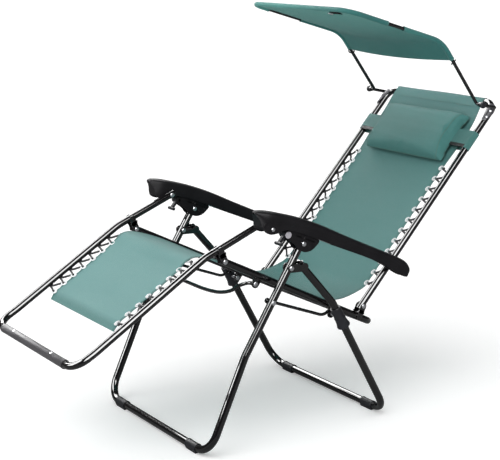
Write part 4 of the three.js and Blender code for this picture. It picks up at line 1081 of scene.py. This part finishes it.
def lock_lever(word, side):
    """A hub between the housing's cheeks, a strap down to a cross grip, and a round cap outside."""
    bm = bmesh.new()
    tip = on_arm(LEVER_ALONG - 9.5, -38)
    hub = [(0, LOCK_OUTER), (RIVET, LOCK_OUTER), (RIVET, LEG_TUBE), (8.2, LEG_TUBE), (9, LEG_TUBE - 0.8)]
    profile = [(r, LEG_HALF - y) for r, y in hub] + [(r, LEG_HALF + y) for r, y in reversed(hub)]
    turned(bm, LEVER_PIVOT, side, profile)
    strap, strap_half = 3.6, 5.5
    outline = strap_outline(LEVER_PIVOT, tip, strap)
    side_plate(bm, outline, side, LEG_HALF - strap_half, LEG_HALF + strap_half, 1.2)
    grip = [(0, 16), (3.6, 16), (5, 14.6)]
    profile = [(r, LEG_HALF - y) for r, y in grip] + [(r, LEG_HALF + y) for r, y in reversed(grip)]
    turned(bm, tip, side, profile)
    cap = [(RIVET, 0), (9, 0.3), (9.6, 1.1), (9.6, 3.2), (8.2, 4.6), (0, 5)]
    turned(bm, LEVER_PIVOT, side, [(r, LEG_HALF + LOCK_OUTER + y) for r, y in cap], 32, 1)
    finishes, node = [CAP_BLACK, KNOB_GREY], f"lock_lever_{word}"
    piece(f"lock_handle_{word}", bm, node, finishes, [node])


# Canopy
def canopy_route():
    end, end_bend = SEAT_HALF + FRAME_TUBE + GAP + 9 - 2.5, 8
    path = (CANOPY_PIVOT, CANOPY_ELBOW, CANOPY_FRONT)
    half = [spot(CANOPY_PIVOT, -end), *[spot(p, -CANOPY_HALF) for p in path]]
    bends = [end_bend, CANOPY_BEND, CANOPY_CORNER]
    return bent_route(mirrored(half), bends + bends[::-1])


def canopy_frame():
    bm = bmesh.new()
    sweep(bm, canopy_route(), CANOPY_ROD, 20)
    piece("canopy_rod", bm, "canopy", [TUBE_BLACK], ["canopy_frame"])


def canopy_bracket(word, side):
    """A tapered saddle round the tube's corner, and a round arm out to the rod's end."""
    bm = bmesh.new()
    inner = SEAT_HALF + FRAME_TUBE + GAP
    foot = BACK_TOP - BACK_RUN * 70
    corner = [spot(foot, side * SEAT_HALF), spot(BACK_TOP, side * SEAT_HALF), spot(BACK_TOP, 0)]
    route = bent_route(corner, [BACK_BEND])[:-1]
    route = [route[0].lerp(route[1], k / 8) for k in range(8)] + route[1:9]
    face = spot(BACK_FACE)
    count = len(route) - 1
    shells = []
    for radius, end_drop in ((FRAME_TUBE + 0.4, 0), (FRAME_TUBE + 3.4, 1.6)):
        grid = []
        for i, p in enumerate(route):
            along = (route[min(i + 1, count)] - route[max(i - 1, 0)]).normalized()
            out = along.cross(face) * -side
            wide = 0.35 + 0.65 * smooth_step(i / count * 1.4)
            angles = [math.radians(35 + wide * (-75 + 150 * k / 12)) for k in range(13)]
            size = radius - (end_drop if i in (0, count) else 0)
            grid.append([bm.verts.new(in_frame(p + turned_to(face, out, a) * size)) for a in angles])
        shells.append(grid)
    low, high = shells
    for grid in shells:
        join_rows(bm, grid)
    for end in (0, -1):
        bridge(bm, low[end], high[end], closed=False)
        bridge(bm, [row[end] for row in low], [row[end] for row in high], closed=False)
    y = side * (inner + 4.5)
    top = BACK_TOP - BACK_RUN * 15
    arm_radius = 4.8
    arm = [spot(CANOPY_PIVOT, y), spot(top.lerp(CANOPY_PIVOT, 0.3), y), spot(top, side * (SEAT_HALF + 8))]
    sweep(bm, arm, arm_radius, 20, 2)
    eye = [(5.2, 0), (7.5, 0.4), (7.5, 8.6), (5.2, 9)]
    turned(bm, CANOPY_PIVOT, side, [(r, inner + at) for r, at in eye], 28, 2, closed=True)
    lean = turned_to(face, Vector((0, side, 0)), 0.9)
    head = [(3.6, 0), *dome(3.6, 0.8, 1.4)]
    for p in (foot + BACK_RUN * 14, BACK_TOP - BACK_RUN * 34):
        lathe(bm, spot(p, side * SEAT_HALF) + lean * (FRAME_TUBE + 2.6), lean, head, 20, 1)
    name, finishes = f"canopy_mount_{word}", [MOUNT_GREY, ZINC, TUBE_BLACK]
    piece(name, bm, "back", finishes, [f"canopy_bracket_{word}"])


def canopy_knob(word, side):
    """A round knob with 15 shallow flutes round its rim."""
    bm = bmesh.new()
    face = SEAT_HALF + FRAME_TUBE + 9 + 2 * GAP
    flutes, flute_depth, steps = 15, 0.45, 60
    profile = [(0, 0, 0), (9.2, 0, 0), (10, 0.8, 1), (10, 7, 1), (8.6, 9, 0.5), (6.4, 9.6, 0), (0, 10, 0)]
    rings = []
    for radius, y, knurl in profile:
        ring = []
        for a in turns(steps):
            r = radius - knurl * flute_depth * (1 + math.cos(a * flutes))
            place = spot(CANOPY_PIVOT) + Vector((r * math.cos(a), side * (face + y), r * math.sin(a)))
            ring.append(bm.verts.new(in_frame(place)))
        rings.append(ring)
    join_rows(bm, rings, closed=True)
    bmesh.ops.remove_doubles(bm, verts=bm.verts, dist=1e-6)
    node = f"canopy_knob_{word}"
    piece(f"canopy_grip_{word}", bm, node, [CAP_BLACK], [node])


def even_points(points, step):
    """Evenly spaced points along a line of points."""
    spread, left = [points[0].copy()], step
    for a, b in zip(points, points[1:]):
        span = (b - a).length
        while left < span:
            spread.append(a.lerp(b, left / span))
            left += step
        left -= span
    return spread + [points[-1].copy()]


def sheet_mesh(name, rows, finishes, thickness=CLOTH, edge_columns=0):
    """A thin closed cloth: each row is (points across, normals across, distance along), in millimetres.
    Its outer columns, and the faces at its sides, have the second finish where edge_columns is set."""
    bm = bmesh.new()
    uv = bm.loops.layers.uv.verify()
    hem = 1 if edge_columns else 0
    count, columns = len(rows), len(rows[0][0])
    layers, widths = [], []
    for lift in (0.5, -0.5):
        layers.append([
            [bm.verts.new(in_frame(p + n * (thickness * lift))) for p, n in zip(points, normals)]
            for points, normals, _ in rows
        ])
    for points, _, _ in rows:
        across = [0.0]
        for a, b in zip(points, points[1:]):
            across.append(across[-1] + (b - a).length)
        widths.append(across)

    def quad(verts, corners, finish):
        face = bm.faces.new(verts)
        face.material_index = finish
        for loop, (i, j) in zip(face.loops, corners):
            loop[uv].uv = (widths[i][j] * MM, rows[i][2] * MM)

    def side_quad(i, j, k, m, finish):
        corners = [(i, j), (k, m)]
        quad([top[i][j], top[k][m], low[k][m], low[i][j]], corners + corners[::-1], finish)

    top, low = layers
    for i in range(count - 1):
        for j in range(columns - 1):
            finish = hem if j < edge_columns or j >= columns - 1 - edge_columns else 0
            corners = [(i, j), (i, j + 1), (i + 1, j + 1), (i + 1, j)]
            quad([top[a][b] for a, b in corners], corners, finish)
            quad([low[a][b] for a, b in reversed(corners)], corners[::-1], finish)
        for j in (0, columns - 1):
            side_quad(i, j, i + 1, j, hem)
    for i in (0, count - 1):
        for j in range(columns - 1):
            side_quad(i, j, i, j + 1, 0)
    return piece(name, bm, None, finishes, crease=60)


def canopy_profile():
    """The side view of the canopy's cloth, from its low rear edge to the front bar, with its half width."""
    step, corner_steps = 6, 10
    low = CANOPY_ELBOW - CANOPY_REAR_RUN * CANOPY_REAR_DROP
    front = CANOPY_FRONT - CANOPY_ROOF_RUN * CANOPY_ROD
    corner = CANOPY_CORNER - CANOPY_ROD
    bend = bent_route([spot(p) for p in (low, CANOPY_ELBOW, front - CANOPY_ROOF_RUN * corner)], [CANOPY_BEND])
    wide = CANOPY_HALF - CANOPY_ROD
    profile = [(p, wide) for p in even_points([flat(p.x, p.z) for p in bend], step)]
    for k in range(1, corner_steps + 1):
        a = math.pi / 2 * k / corner_steps
        short, narrow = corner * (1 - math.sin(a)), corner * (1 - math.cos(a))
        profile.append((front - CANOPY_ROOF_RUN * short, wide - narrow))
    return profile


# Where the rod shows through the side sleeves: how far behind the front bar each opening begins and ends
CANOPY_OPENINGS = {-1: (146, 200), 1: (72, 190)}


def opening_depth(side, behind):
    """How far the cloth's edge draws in beside an opening, with a soft start and end."""
    depth, soft = 13, 12
    start, end = CANOPY_OPENINGS[side]
    begins = smooth_step((behind - start + soft) / (2 * soft))
    return depth * begins * smooth_step((end + soft - behind) / (2 * soft))


def canopy_cloth():
    sag_most, crease_most, columns = 15, 1.3, 56
    profile = canopy_profile()
    count = len(profile) - 1
    rows, run = [], 0.0
    for i, (p, wide) in enumerate(profile):
        n = -left_of(toward(profile[max(i - 1, 0)][0], profile[min(i + 1, count)][0]))
        u = i / count
        run += (p - profile[i - 1][0]).length if i else 0
        behind = (CANOPY_FRONT - p).length
        points = []
        for j in range(columns + 1):
            v = 2 * j / columns - 1
            fold = 1 - v * v
            sag = sag_most * fold * math.sin(math.pi * (0.3 + 0.7 * u)) if u < 1 else 0
            waves = math.sin(9 * u + 5 * v) * math.sin(13 * v + 3 * u)
            crease = crease_most * waves * fold * math.sin(math.pi * u)
            reach = wide - opening_depth(1 if v > 0 else -1, behind) * abs(v) ** 6
            points.append(spot(p - n * (sag + crease), v * reach))
        rows.append((points, [spot(n)] * (columns + 1), run))
    made = sheet_mesh("canopy_sheet", rows, [CANOPY_TEAL, HEM_TEAL], edge_columns=1)
    dress(made, "canopy", ["canopy_cloth"])
    canopy_sleeves()
    canopy_loops()


def canopy_sleeves():
    """Cloth sleeves round the rod, cut away where the rod shows, with a doubled hem at each end."""
    step, sleeve, hem = 5, 6.9, 7.3
    route = canopy_route()
    dense = [route[0]]
    for a, b in zip(route, route[1:]):
        steps = max(1, round((b - a).length / step))
        dense += [a.lerp(b, k / steps) for k in range(1, steps + 1)]
    stretches, current = [], []
    for p in dense:
        place = flat(p.x, p.z)
        start, end = CANOPY_OPENINGS[1 if p.y > 0 else -1]
        low = (place - CANOPY_ELBOW).dot(CANOPY_REAR_RUN) < -CANOPY_REAR_DROP
        if low or abs(p.y) > CANOPY_HALF + 1 or start < (CANOPY_FRONT - place).length < end:
            if len(current) > 3:
                stretches.append(current)
            current = []
        else:
            current.append(p)
    bm = bmesh.new()
    for stretch in stretches:
        sweep(bm, stretch, sleeve, 20)
        for p, q in ((stretch[0], stretch[1]), (stretch[-1], stretch[-2])):
            sweep(bm, [p, p.lerp(q, 0.9)], hem, 20, 1)
    piece("canopy_sleeves", bm, "canopy", [CANOPY_TEAL, HEM_TEAL], [], 60)


def canopy_loops():
    """A loop round the rod at each low corner, and a pull tab with a wire ring under the front bar."""
    bm = bmesh.new()
    loop, loop_cord, tilt, below = 8.2, 1.9, 5, 12
    axis = spot(CANOPY_REAR_RUN)
    for _, side in SIDES:
        centre = spot(CANOPY_ELBOW - CANOPY_REAR_RUN * (CANOPY_REAR_DROP + below), side * CANOPY_HALF)
        out = Vector((0, side, 0))
        across = axis.cross(out)
        ring = []
        for a in turns(24):
            lean = axis * (tilt - tilt * math.sin(a))
            ring.append(centre + across * (loop * math.cos(a)) - out * (loop * math.sin(a)) + lean)
        sweep(bm, ring, loop_cord, 8, closed=True)
    under = left_of(CANOPY_ROOF_RUN)
    tab = CANOPY_FRONT - CANOPY_ROOF_RUN * 26 + under * 4
    ahead, thick = CANOPY_ROOF_RUN * 10, under * 2
    plate(bm, [tab + ahead, tab - ahead, tab - ahead + thick, tab + ahead + thick], -176, -138)
    middle, long, wide = spot(tab + under * 4, -134), spot(CANOPY_ROOF_RUN), Vector((0, 7, 0))
    wire = [middle + long * (8 * math.cos(a)) + wide * math.sin(a) for a in turns(20)]
    sweep(bm, wire, 1.4, 8, 1, closed=True)
    piece("canopy_loops", bm, "canopy", [DARK_BAND_BLACK, ZINC], [], 60)


# Sling: one surface from the footrest's end to the back's top, cut into four at the hinges
def back_lift(s):
    """How far in front of the back frame's plane the cloth's edge lies; it climbs over the top bar."""
    u = (s - BACK_CLOTH_START) / (BACK_LENGTH - BACK_CLOTH_START)
    return (FRAME_TUBE + 1.0) * smooth_step((s - BACK_LENGTH + 90) / 86) - SLING_HANG * (1 - u)


def sling_stations():
    """The sling's middle line from the foot end up: (side-view point, dish share, extra half width)."""
    line = []
    foot_steps, seat_steps, back_steps, wrap_steps = 60, 100, 80, 14
    for k in range(foot_steps):
        from_end = (FOOT_CLOTH_END - FOOT_CLOTH_START) * k / foot_steps
        roll = 10 * max(0, 1 - from_end / 34) ** 2
        dish = smooth_step(from_end / 90) * (1 - 0.3 * smooth_step((from_end - 60) / 118))
        line.append((on_foot(FOOT_CLOTH_END - from_end, 2 - SLING_HANG - roll), dish, -FOOT_CLOTH_IN))
    seat = [
        on_foot(FOOT_CLOTH_START, 2 - SLING_HANG),
        on_foot(FOOT_CLOTH_START * 0.55, 3 - SLING_HANG),
        on_foot(8, 6 - SLING_HANG),
        flat(100, 520),
        flat(200, 474),
        flat(400, 376),
        flat(500, 352),
        on_back(BACK_CLOTH_START, back_lift(BACK_CLOTH_START)),
    ]
    for k in range(seat_steps):
        place = k / seat_steps * (len(seat) - 1)
        p = curve_point(seat, int(place), place - int(place))
        dish = 0.25 + 0.5 * smooth_step(abs(p.x - 45) / 160)
        line.append((p, dish, -FOOT_CLOTH_IN * (1 - smooth_step((p.x - 80) / 200))))
    for k in range(back_steps + 1):
        u = k / back_steps
        s = BACK_CLOTH_START + (BACK_LENGTH - BACK_CLOTH_START) * u
        beside = (s - PILLOW_LOW) / (BACK_LENGTH - PILLOW_LOW)
        wide = 8 * math.sin(math.pi * beside) if beside > 0 else 0
        line.append((on_back(s, back_lift(s)), (1 - u * u) * (0.75 + 0.25 * smooth_step(u * 4)), wide))
    for _ in range(10):
        threes = zip(line, line[1:], line[2:])
        inside = [tuple((a[n] + b[n] * 2 + c[n]) / 4 for n in range(3)) for a, b, c in threes]
        line = [line[0], *inside, line[-1]]
    for k in range(1, wrap_steps + 1):
        around = turned_to(BACK_FACE, BACK_RUN, math.radians(200) * k / wrap_steps)
        line.append((BACK_TOP + around * (FRAME_TUBE + 1.0), 0, 0))
    return line


def hook_phase(p):
    """How many hook pitches a place lies beyond the first hook of its row, or None where there is no row."""
    foot_along = (p - FOOT_KNEE).dot(FOOT_RUN)
    back_along = (p - BACK_HINGE).dot(BACK_RUN)
    if foot_along > FOOT_HOOK_FIRST and p.x < KNEE.x:
        return (foot_along - FOOT_HOOK_FIRST) / FOOT_HOOK_PITCH
    if BACK_HOOK_FIRST < back_along < PILLOW_LOW and p.x > BACK_HINGE.x:
        return (back_along - BACK_HOOK_FIRST) / BACK_HOOK_PITCH
    return None


def sling_rows(line):
    """Rows across the sling: dished, faintly rippled, and drawn in between the hooks."""
    columns, draw_most, ripple_most = 40, 2.6, 0.8
    last = len(line) - 1
    rows, run = [], 0.0
    for i, (p, depth, wide) in enumerate(line):
        n = left_of(toward(line[max(i - 2, 0)][0], line[min(i + 2, last)][0]))
        run += (p - line[i - 1][0]).length if i else 0
        phase = hook_phase(p)
        draw = 0 if phase is None else draw_most * math.sin(math.pi * phase) ** 2
        across = []
        for j in range(columns + 1):
            v = 2 * j / columns - 1
            sag = SLING_DISH * depth * (1 - v * v)
            ripple = ripple_most * math.sin(run / 31) * math.sin(3.1 * v + run / 90) * (1 - v * v)
            reach = v * (SLING_HALF + wide) - math.copysign(draw * abs(v) ** 8, v)
            across.append(spot(p - n * (sag + ripple), reach))
        rows.append((across, [spot(n)] * (columns + 1), run))
    return rows


def keep_normals(made, rows):
    """Keeps the sling's shading even where one stretch meets the next."""
    normals = [n * flip for flip in (1, -1) for _, across, _ in rows for n in across]
    made.data.normals_split_custom_set_from_vertices([tuple(n) for n in normals])


def surface_normals(rows):
    """Each row again, with the true normal of the surface at each point."""
    better = []
    for i, (across, rough, run) in enumerate(rows):
        before, after = rows[max(i - 1, 0)][0], rows[min(i + 1, len(rows) - 1)][0]
        normals = []
        for j in range(len(across)):
            a, b = across[max(j - 1, 0)], across[min(j + 1, len(across) - 1)]
            n = (after[j] - before[j]).cross(a - b)
            normals.append((n if n.dot(rough[j]) >= 0 else -n).normalized())
        better.append((across, normals, run))
    return better


def sling():
    line = sling_stations()
    rows = surface_normals(sling_rows(line))
    points = [p for p, _, _ in line]

    def nearest(away):
        return min(range(len(points)), key=lambda i: away(points[i]))

    def world(i):
        return in_frame(spot(points[i]))

    knee = nearest(lambda p: (p - flat(62, 533)).length)
    middle = nearest(lambda p: abs(p.x - 290))
    hinge = nearest(lambda p: (p - flat(534, 362)).length)
    stretches = [
        ("foot", 0, knee, "sling_foot", "footrest_tube"),
        ("seat_front", knee, middle, "sling_seat", "seat_tube"),
        ("seat_rear", middle, hinge, None, "seat_tube"),
        ("back", hinge, len(rows) - 1, "sling_back", "back_tube"),
    ]
    made = []
    for word, a, b, _, _ in stretches:
        part = rows[a : b + 1]
        made.append(sheet_mesh(f"sling_{word}_cloth", part, [SLING_TEAL, HEM_TEAL], edge_columns=1))
        keep_normals(made[-1], part)
    for cloth, (_, _, _, node, _) in zip(made, stretches):
        if node:
            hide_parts(node)
    foot, front, rear, back = made
    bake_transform(foot)
    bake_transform(front)
    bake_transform(rear)
    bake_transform(back)


# Lacing: an elastic cord from each hook on the cloth's edge to a lug under the tube and back
LUG_Y = SEAT_HALF - 8.5
LUG_LIFT = -9.5
AT_HOOK = ((-2.6, 10), (-1.2, 5.2), (1.2, 5.2), (2.6, 10))
AT_LUG = ((-4.5, -5), (-2.2, 1.5), (2.2, 1.5), (4.5, -5))


def lacing(name, side, on_frame, run, up, first, pitch, hooks, body, node, cloth_lift):
    edge = SLING_HALF - (FOOT_CLOTH_IN if body == "footrest" else 0)
    along, out, across = spot(run), spot(up), Vector((0, side, 0))
    points = []
    lugs, rings = bmesh.new(), bmesh.new()
    for i in range(hooks):
        s = first + i * pitch
        lift = cloth_lift(s)
        points += [spot(on_frame(s + reach, lift + 1), side * (edge + y)) for reach, y in AT_HOOK]
        hook(rings, on_frame(s, lift + 1.6), side * edge, along, out, across)
        if i < hooks - 1:
            middle = s + pitch * 0.62
            low = LUG_LIFT - 1
            points += [spot(on_frame(middle + reach, low), side * (LUG_Y + y)) for reach, y in AT_LUG]
            lug(lugs, spot(on_frame(middle, LUG_LIFT), side * LUG_Y), along, out, across)
    bm = bmesh.new()
    sweep(bm, eased(points, 4), CORD, 12)
    piece(name, bm, body, [CORD_BLACK], [node], 60)
    piece(name + "_lugs", lugs, body, [TUBE_BLACK], [], 60)
    piece(name + "_hooks", rings, body, [HOOK_PALE], [], 60)


def lug(bm, centre, along, out, across):
    """A short wire staple welded under the tube, which the cord runs through."""
    half_length, depth, wire, steps = 6.5, 5.5, 1.5, 8
    arch = []
    for k in range(steps + 1):
        a = math.pi * k / steps
        place = centre + along * (half_length * math.cos(a)) - across * (depth * math.sin(a) - 5)
        arch.append(place - out * (1.2 - 3.5 * abs(math.cos(a))))
    sweep(bm, arch, wire, 8)


def hook(bm, p, edge, along, out, across):
    """An open ring through the hem, with an eyelet round its root."""
    hook_wire, eyelet, eyelet_wire, steps = 2.1, 3.9, 1.1, 20
    eye, rim = spot(p, edge) - across * 2.5, spot(p, edge) - across * 8.5
    loop = []
    for k in range(steps + 1):
        a = math.radians(38 + 284 * k / steps)
        bend = out * (1.6 + 1.6 * math.cos(a))
        loop.append(eye + across * (8.6 * math.cos(a)) + along * (6.8 * math.sin(a)) + bend)
    sweep(bm, loop, hook_wire, 10)
    sweep(bm, [rim + turned_to(across, along, a) * eyelet for a in turns(18)], eyelet_wire, 8, closed=True)


# Pillow: u runs from its low edge to its high edge and v across, both from -1 to 1
PILLOW_VOXEL = 5
PILLOW_PUFF = 6
PILLOW_PRESSURE = 4.0
SEAM = 1.1


def pillow_height(u, v):
    """The share of the pillow's crown at a place: steep at its low edge, sloping at its ends."""
    t = (u + 1) / 2
    low = math.sqrt(1 - max(0, 1 - t / 0.5) ** 2.4)
    high = math.sqrt(1 - max(0, (t - 0.72) / 0.28) ** 2.6)
    end = max(0, (abs(v) - 0.88) / 0.12)
    return low * high * (1 - 0.24 * abs(v) ** 2.5) * (1 - end**1.7)


def pillow_point(u, v, share, grow=1.0):
    half = (PILLOW_HIGH + 8 - PILLOW_LOW) / 2
    side = PILLOW_HALF * (1 - 0.05 * (1 - u * u) - 0.07 * max(0, -u - 0.75))
    lift = PILLOW_RIM + share * pillow_height(u, v) * PILLOW_THICKNESS
    return spot(on_back(PILLOW_MIDDLE + 4 + u * half * grow, lift), PILLOW_SHIFT + v * side * grow)


def pillow():
    bm = bmesh.new()
    rows, columns = 22, 40
    for share in (0.58, -0.05):
        grid = []
        for i in range(rows + 1):
            places = [(2 * i / rows - 1, 2 * j / columns - 1) for j in range(columns + 1)]
            grid.append([bm.verts.new(in_frame(pillow_point(u, v, share, 0.99))) for u, v in places])
        join_rows(bm, grid)
    bmesh.ops.remove_doubles(bm, verts=bm.verts, dist=1e-5)
    bmesh.ops.recalc_face_normals(bm, faces=bm.faces)
    made = piece("pillow_pad", bm, None, [PILLOW_TEAL], crease=180)
    remesh = made.modifiers.new("skin", "REMESH")
    remesh.mode = "VOXEL"
    remesh.voxel_size = PILLOW_VOXEL * MM
    remesh.use_smooth_shade = True
    flatten(made)
    puff(made, PILLOW_PRESSURE, PILLOW_PUFF * MM)
    rounder = made.modifiers.new("rounder", "SUBSURF")
    rounder.levels = rounder.render_levels = 1
    flatten(made)
    made.data.shade_smooth()
    dress(made, "back", ["head_pillow"])
    pillow_seams(made)


def flatten(made):
    """Puts a piece's modifiers into its mesh."""
    bpy.context.view_layer.update()
    ready = bpy.data.meshes.new_from_object(made.evaluated_get(bpy.context.evaluated_depsgraph_get()))
    made.modifiers.clear()
    old = made.data
    made.data = ready
    bpy.data.meshes.remove(old)


def puff(made, pressure, furthest):
    """Swells a stuffed piece as cloth under pressure, then keeps each point near where it began."""
    frames = 20
    start = [v.co.copy() for v in made.data.vertices]
    settings = made.modifiers.new("cloth", "CLOTH").settings
    settings.quality = 5
    settings.mass = 0.15
    settings.tension_stiffness = 25
    settings.compression_stiffness = 12
    settings.bending_stiffness = 0.8
    settings.use_pressure = True
    settings.uniform_pressure_force = pressure
    settings.effector_weights.gravity = 0
    for n in range(1, frames + 1):
        scene.frame_set(n)
    flatten(made)
    scene.frame_set(1)
    face = spot(BACK_FACE)
    base = in_frame(spot(BACK_HINGE)) + face * (1.2 * MM)
    for vert, began in zip(made.data.vertices, start):
        move = vert.co - began
        if move.length > furthest:
            vert.co = began + move.normalized() * furthest
        under = (vert.co - base).dot(face)
        if under < 0:
            vert.co -= face * under


def pillow_seams(made):
    """A corded seam where the pillow's two faces join, and one round each end panel."""
    tree = BVHTree.FromObject(made, bpy.context.evaluated_depsgraph_get())
    bm = bmesh.new()
    least_step, edge_steps, end_steps, squarer, panel = 3, 120, 60, 1.25, 0.88

    def capped(value):
        return max(-1, min(1, squarer * value))

    loops = [[pillow_point(capped(math.sin(a)), capped(math.cos(a)), 0.0) for a in turns(edge_steps)]]
    for end in (-panel, panel):
        loops.append([pillow_point(math.cos(a), end, 0.3 + 0.4 * math.sin(a)) for a in turns(end_steps)])
    for loop in loops:
        even = []
        for p in loop:
            found = tree.find_nearest(in_frame(p))[0]
            place = Vector((found.x / MM + MIDDLE_X, found.y / MM, found.z / MM))
            if not even or (place - even[-1]).length > least_step:
                even.append(place)
        sweep(bm, even, SEAM, 8, closed=True)
    piece("pillow_seam", bm, "back", [THREAD_TEAL], [], 60)


def pillow_strap():
    """A band from the pillow's ends round both tubes and across behind the back."""
    around = FRAME_TUBE + 0.4 + 0.8
    start, inward, columns, wrap_steps, inner_steps, rear_steps = PILLOW_HALF - 16, 40, 16, 16, 6, 12
    right = [(start, PILLOW_RIM + 6), (start + 14, PILLOW_RIM + 5.5)]
    for k in range(wrap_steps + 1):
        a = math.pi / 2 - math.pi * k / wrap_steps
        right.append((SEAT_HALF + around * math.cos(a), around * math.sin(a)))
    right += [(SEAT_HALF - inward * k / inner_steps, -around) for k in range(1, inner_steps + 1)]
    rest = SEAT_HALF - inward
    for k in range(1, rear_steps + 1):
        bulge = 1.5 * math.sin(math.pi * k / (2 * rear_steps))
        right.append((rest - rest * k / rear_steps, -around - bulge))
    loop = [*right, *[(-y, h) for y, h in reversed(right[:-1])]]
    along, face = spot(BACK_RUN), spot(BACK_FACE)
    base = spot(on_back(STRAP_LOW))
    line = [base + Vector((0, y, 0)) + face * h for y, h in loop]
    rows, run = [], 0.0
    for i, p in enumerate(line):
        d = (line[min(i + 1, len(line) - 1)] - line[max(i - 1, 0)]).normalized()
        n = along.cross(d).normalized()
        run += (p - line[i - 1]).length if i else 0
        across = [p + along * (STRAP_WIDTH * j / columns) for j in range(columns + 1)]
        rows.append((across, [n] * (columns + 1), run))
    made = sheet_mesh("pillow_band", rows, [HEM_TEAL, DARK_BAND_BLACK], thickness=1.4)
    darken_strap_low_edge(made)
    dress(made, "back", ["pillow_strap"])


def darken_strap_low_edge(made):
    """Gives the strap's low edge a dark band, from the pillow's ends to the tubes."""
    dark_width = 10
    inside = (SEAT_HALF - FRAME_TUBE) * MM
    high = in_frame(spot(on_back(STRAP_LOW + dark_width)))
    for part in made.data.polygons:
        away = part.center - high
        if away.dot(spot(BACK_RUN)) < 0 and away.dot(spot(BACK_FACE)) > 0 and abs(part.center.y) < inside:
            part.material_index = 1


def top_hem():
    """The line of stitching that closes the cloth's turn round the top bar."""
    bm = bmesh.new()
    s = BACK_LENGTH - 27
    stitches, pitch, half_stitch, thread = 44, 4.5, 1.5, 0.5
    place = on_back(s, back_lift(s) + 0.9)
    for k in range(-stitches, stitches + 1):
        sweep(bm, [spot(place, k * pitch + end) for end in (-half_stitch, half_stitch)], thread, 6)
    piece("top_bar_stitches", bm, "back", [THREAD_TEAL], [])


def dress_side(word, side):
    """All that the lounger has once on each side."""
    leg_reach = LEG_TUBE + PLATE + 2 * GAP
    frame_reach = FRAME_TUBE + PLATE + 2 * GAP
    lock_reach = LOCK_OUTER + GAP
    leg_bracket(word, side)
    low, high = LEG_HALF - leg_reach, LEG_HALF + leg_reach
    pin_piece(f"leg_rivet_{word}", LEG_HINGE, side, low, high, "front_legs", f"leg_hinge_rivet_{word}")
    foot_cap(f"front_cap_{word}", FRONT_BAR, side, "front_legs", f"front_foot_cap_{word}")
    foot_cap(f"rear_cap_{word}", REAR_BAR, side, "rear_legs", f"rear_foot_cap_{word}")
    leg_slide(word, side)
    seat_pin(word, side)
    link_rod(word, side)
    clevis(f"back_ear_{word}", side, BACK_HINGE, BACK_ROOT, SEAT_RUN, "seat", f"back_bracket_{word}")
    clevis(f"knee_ear_{word}", side, KNEE, KNEE_ROOT, KNEE_RUN, "footrest", f"knee_bracket_{word}")
    low, high = SEAT_HALF - frame_reach, SEAT_HALF + frame_reach
    pin_piece(f"back_pin_{word}", BACK_HINGE, side, low, high, "back_rivets", f"back_rivet_{word}")
    pin_piece(f"knee_pin_{word}", KNEE, side, low, high, "knee_rivets", f"knee_rivet_{word}")
    armrest(word, side)
    arm_rail(word, side)
    arm_bolts(word, side)
    lock_housing(word, side)
    low, high = LEG_HALF - lock_reach, LEG_HALF + lock_reach
    pin_piece(f"lock_pin_{word}", LOCK_PIVOT, side, low, high, "lock_rivets", f"lock_rivet_{word}")
    lock_lever(word, side)
    canopy_bracket(word, side)
    canopy_knob(word, side)
    foot_hooks = (FOOT_HOOK_FIRST, FOOT_HOOK_PITCH, FOOT_HOOKS, "footrest", f"foot_lacing_{word}")
    back_hooks = (BACK_HOOK_FIRST, BACK_HOOK_PITCH, BACK_HOOKS, "back", f"back_lacing_{word}")
    lacing(f"foot_cord_{word}", side, on_foot, FOOT_RUN, FOOT_FACE, *foot_hooks, lambda s: 2 - SLING_HANG)
    lacing(f"back_cord_{word}", side, on_back, BACK_RUN, BACK_FACE, *back_hooks, back_lift)


place_camera()
place_floor(floor_paint())
light_studio()
leg_frames()
seat_frame()
bow_rod()
back_frame()
footrest_frame()
end_bar_cover()
canopy_frame()
canopy_cloth()
sling()
pillow()
pillow_strap()
top_hem()
for word, side in SIDES:
    dress_side(word, side)
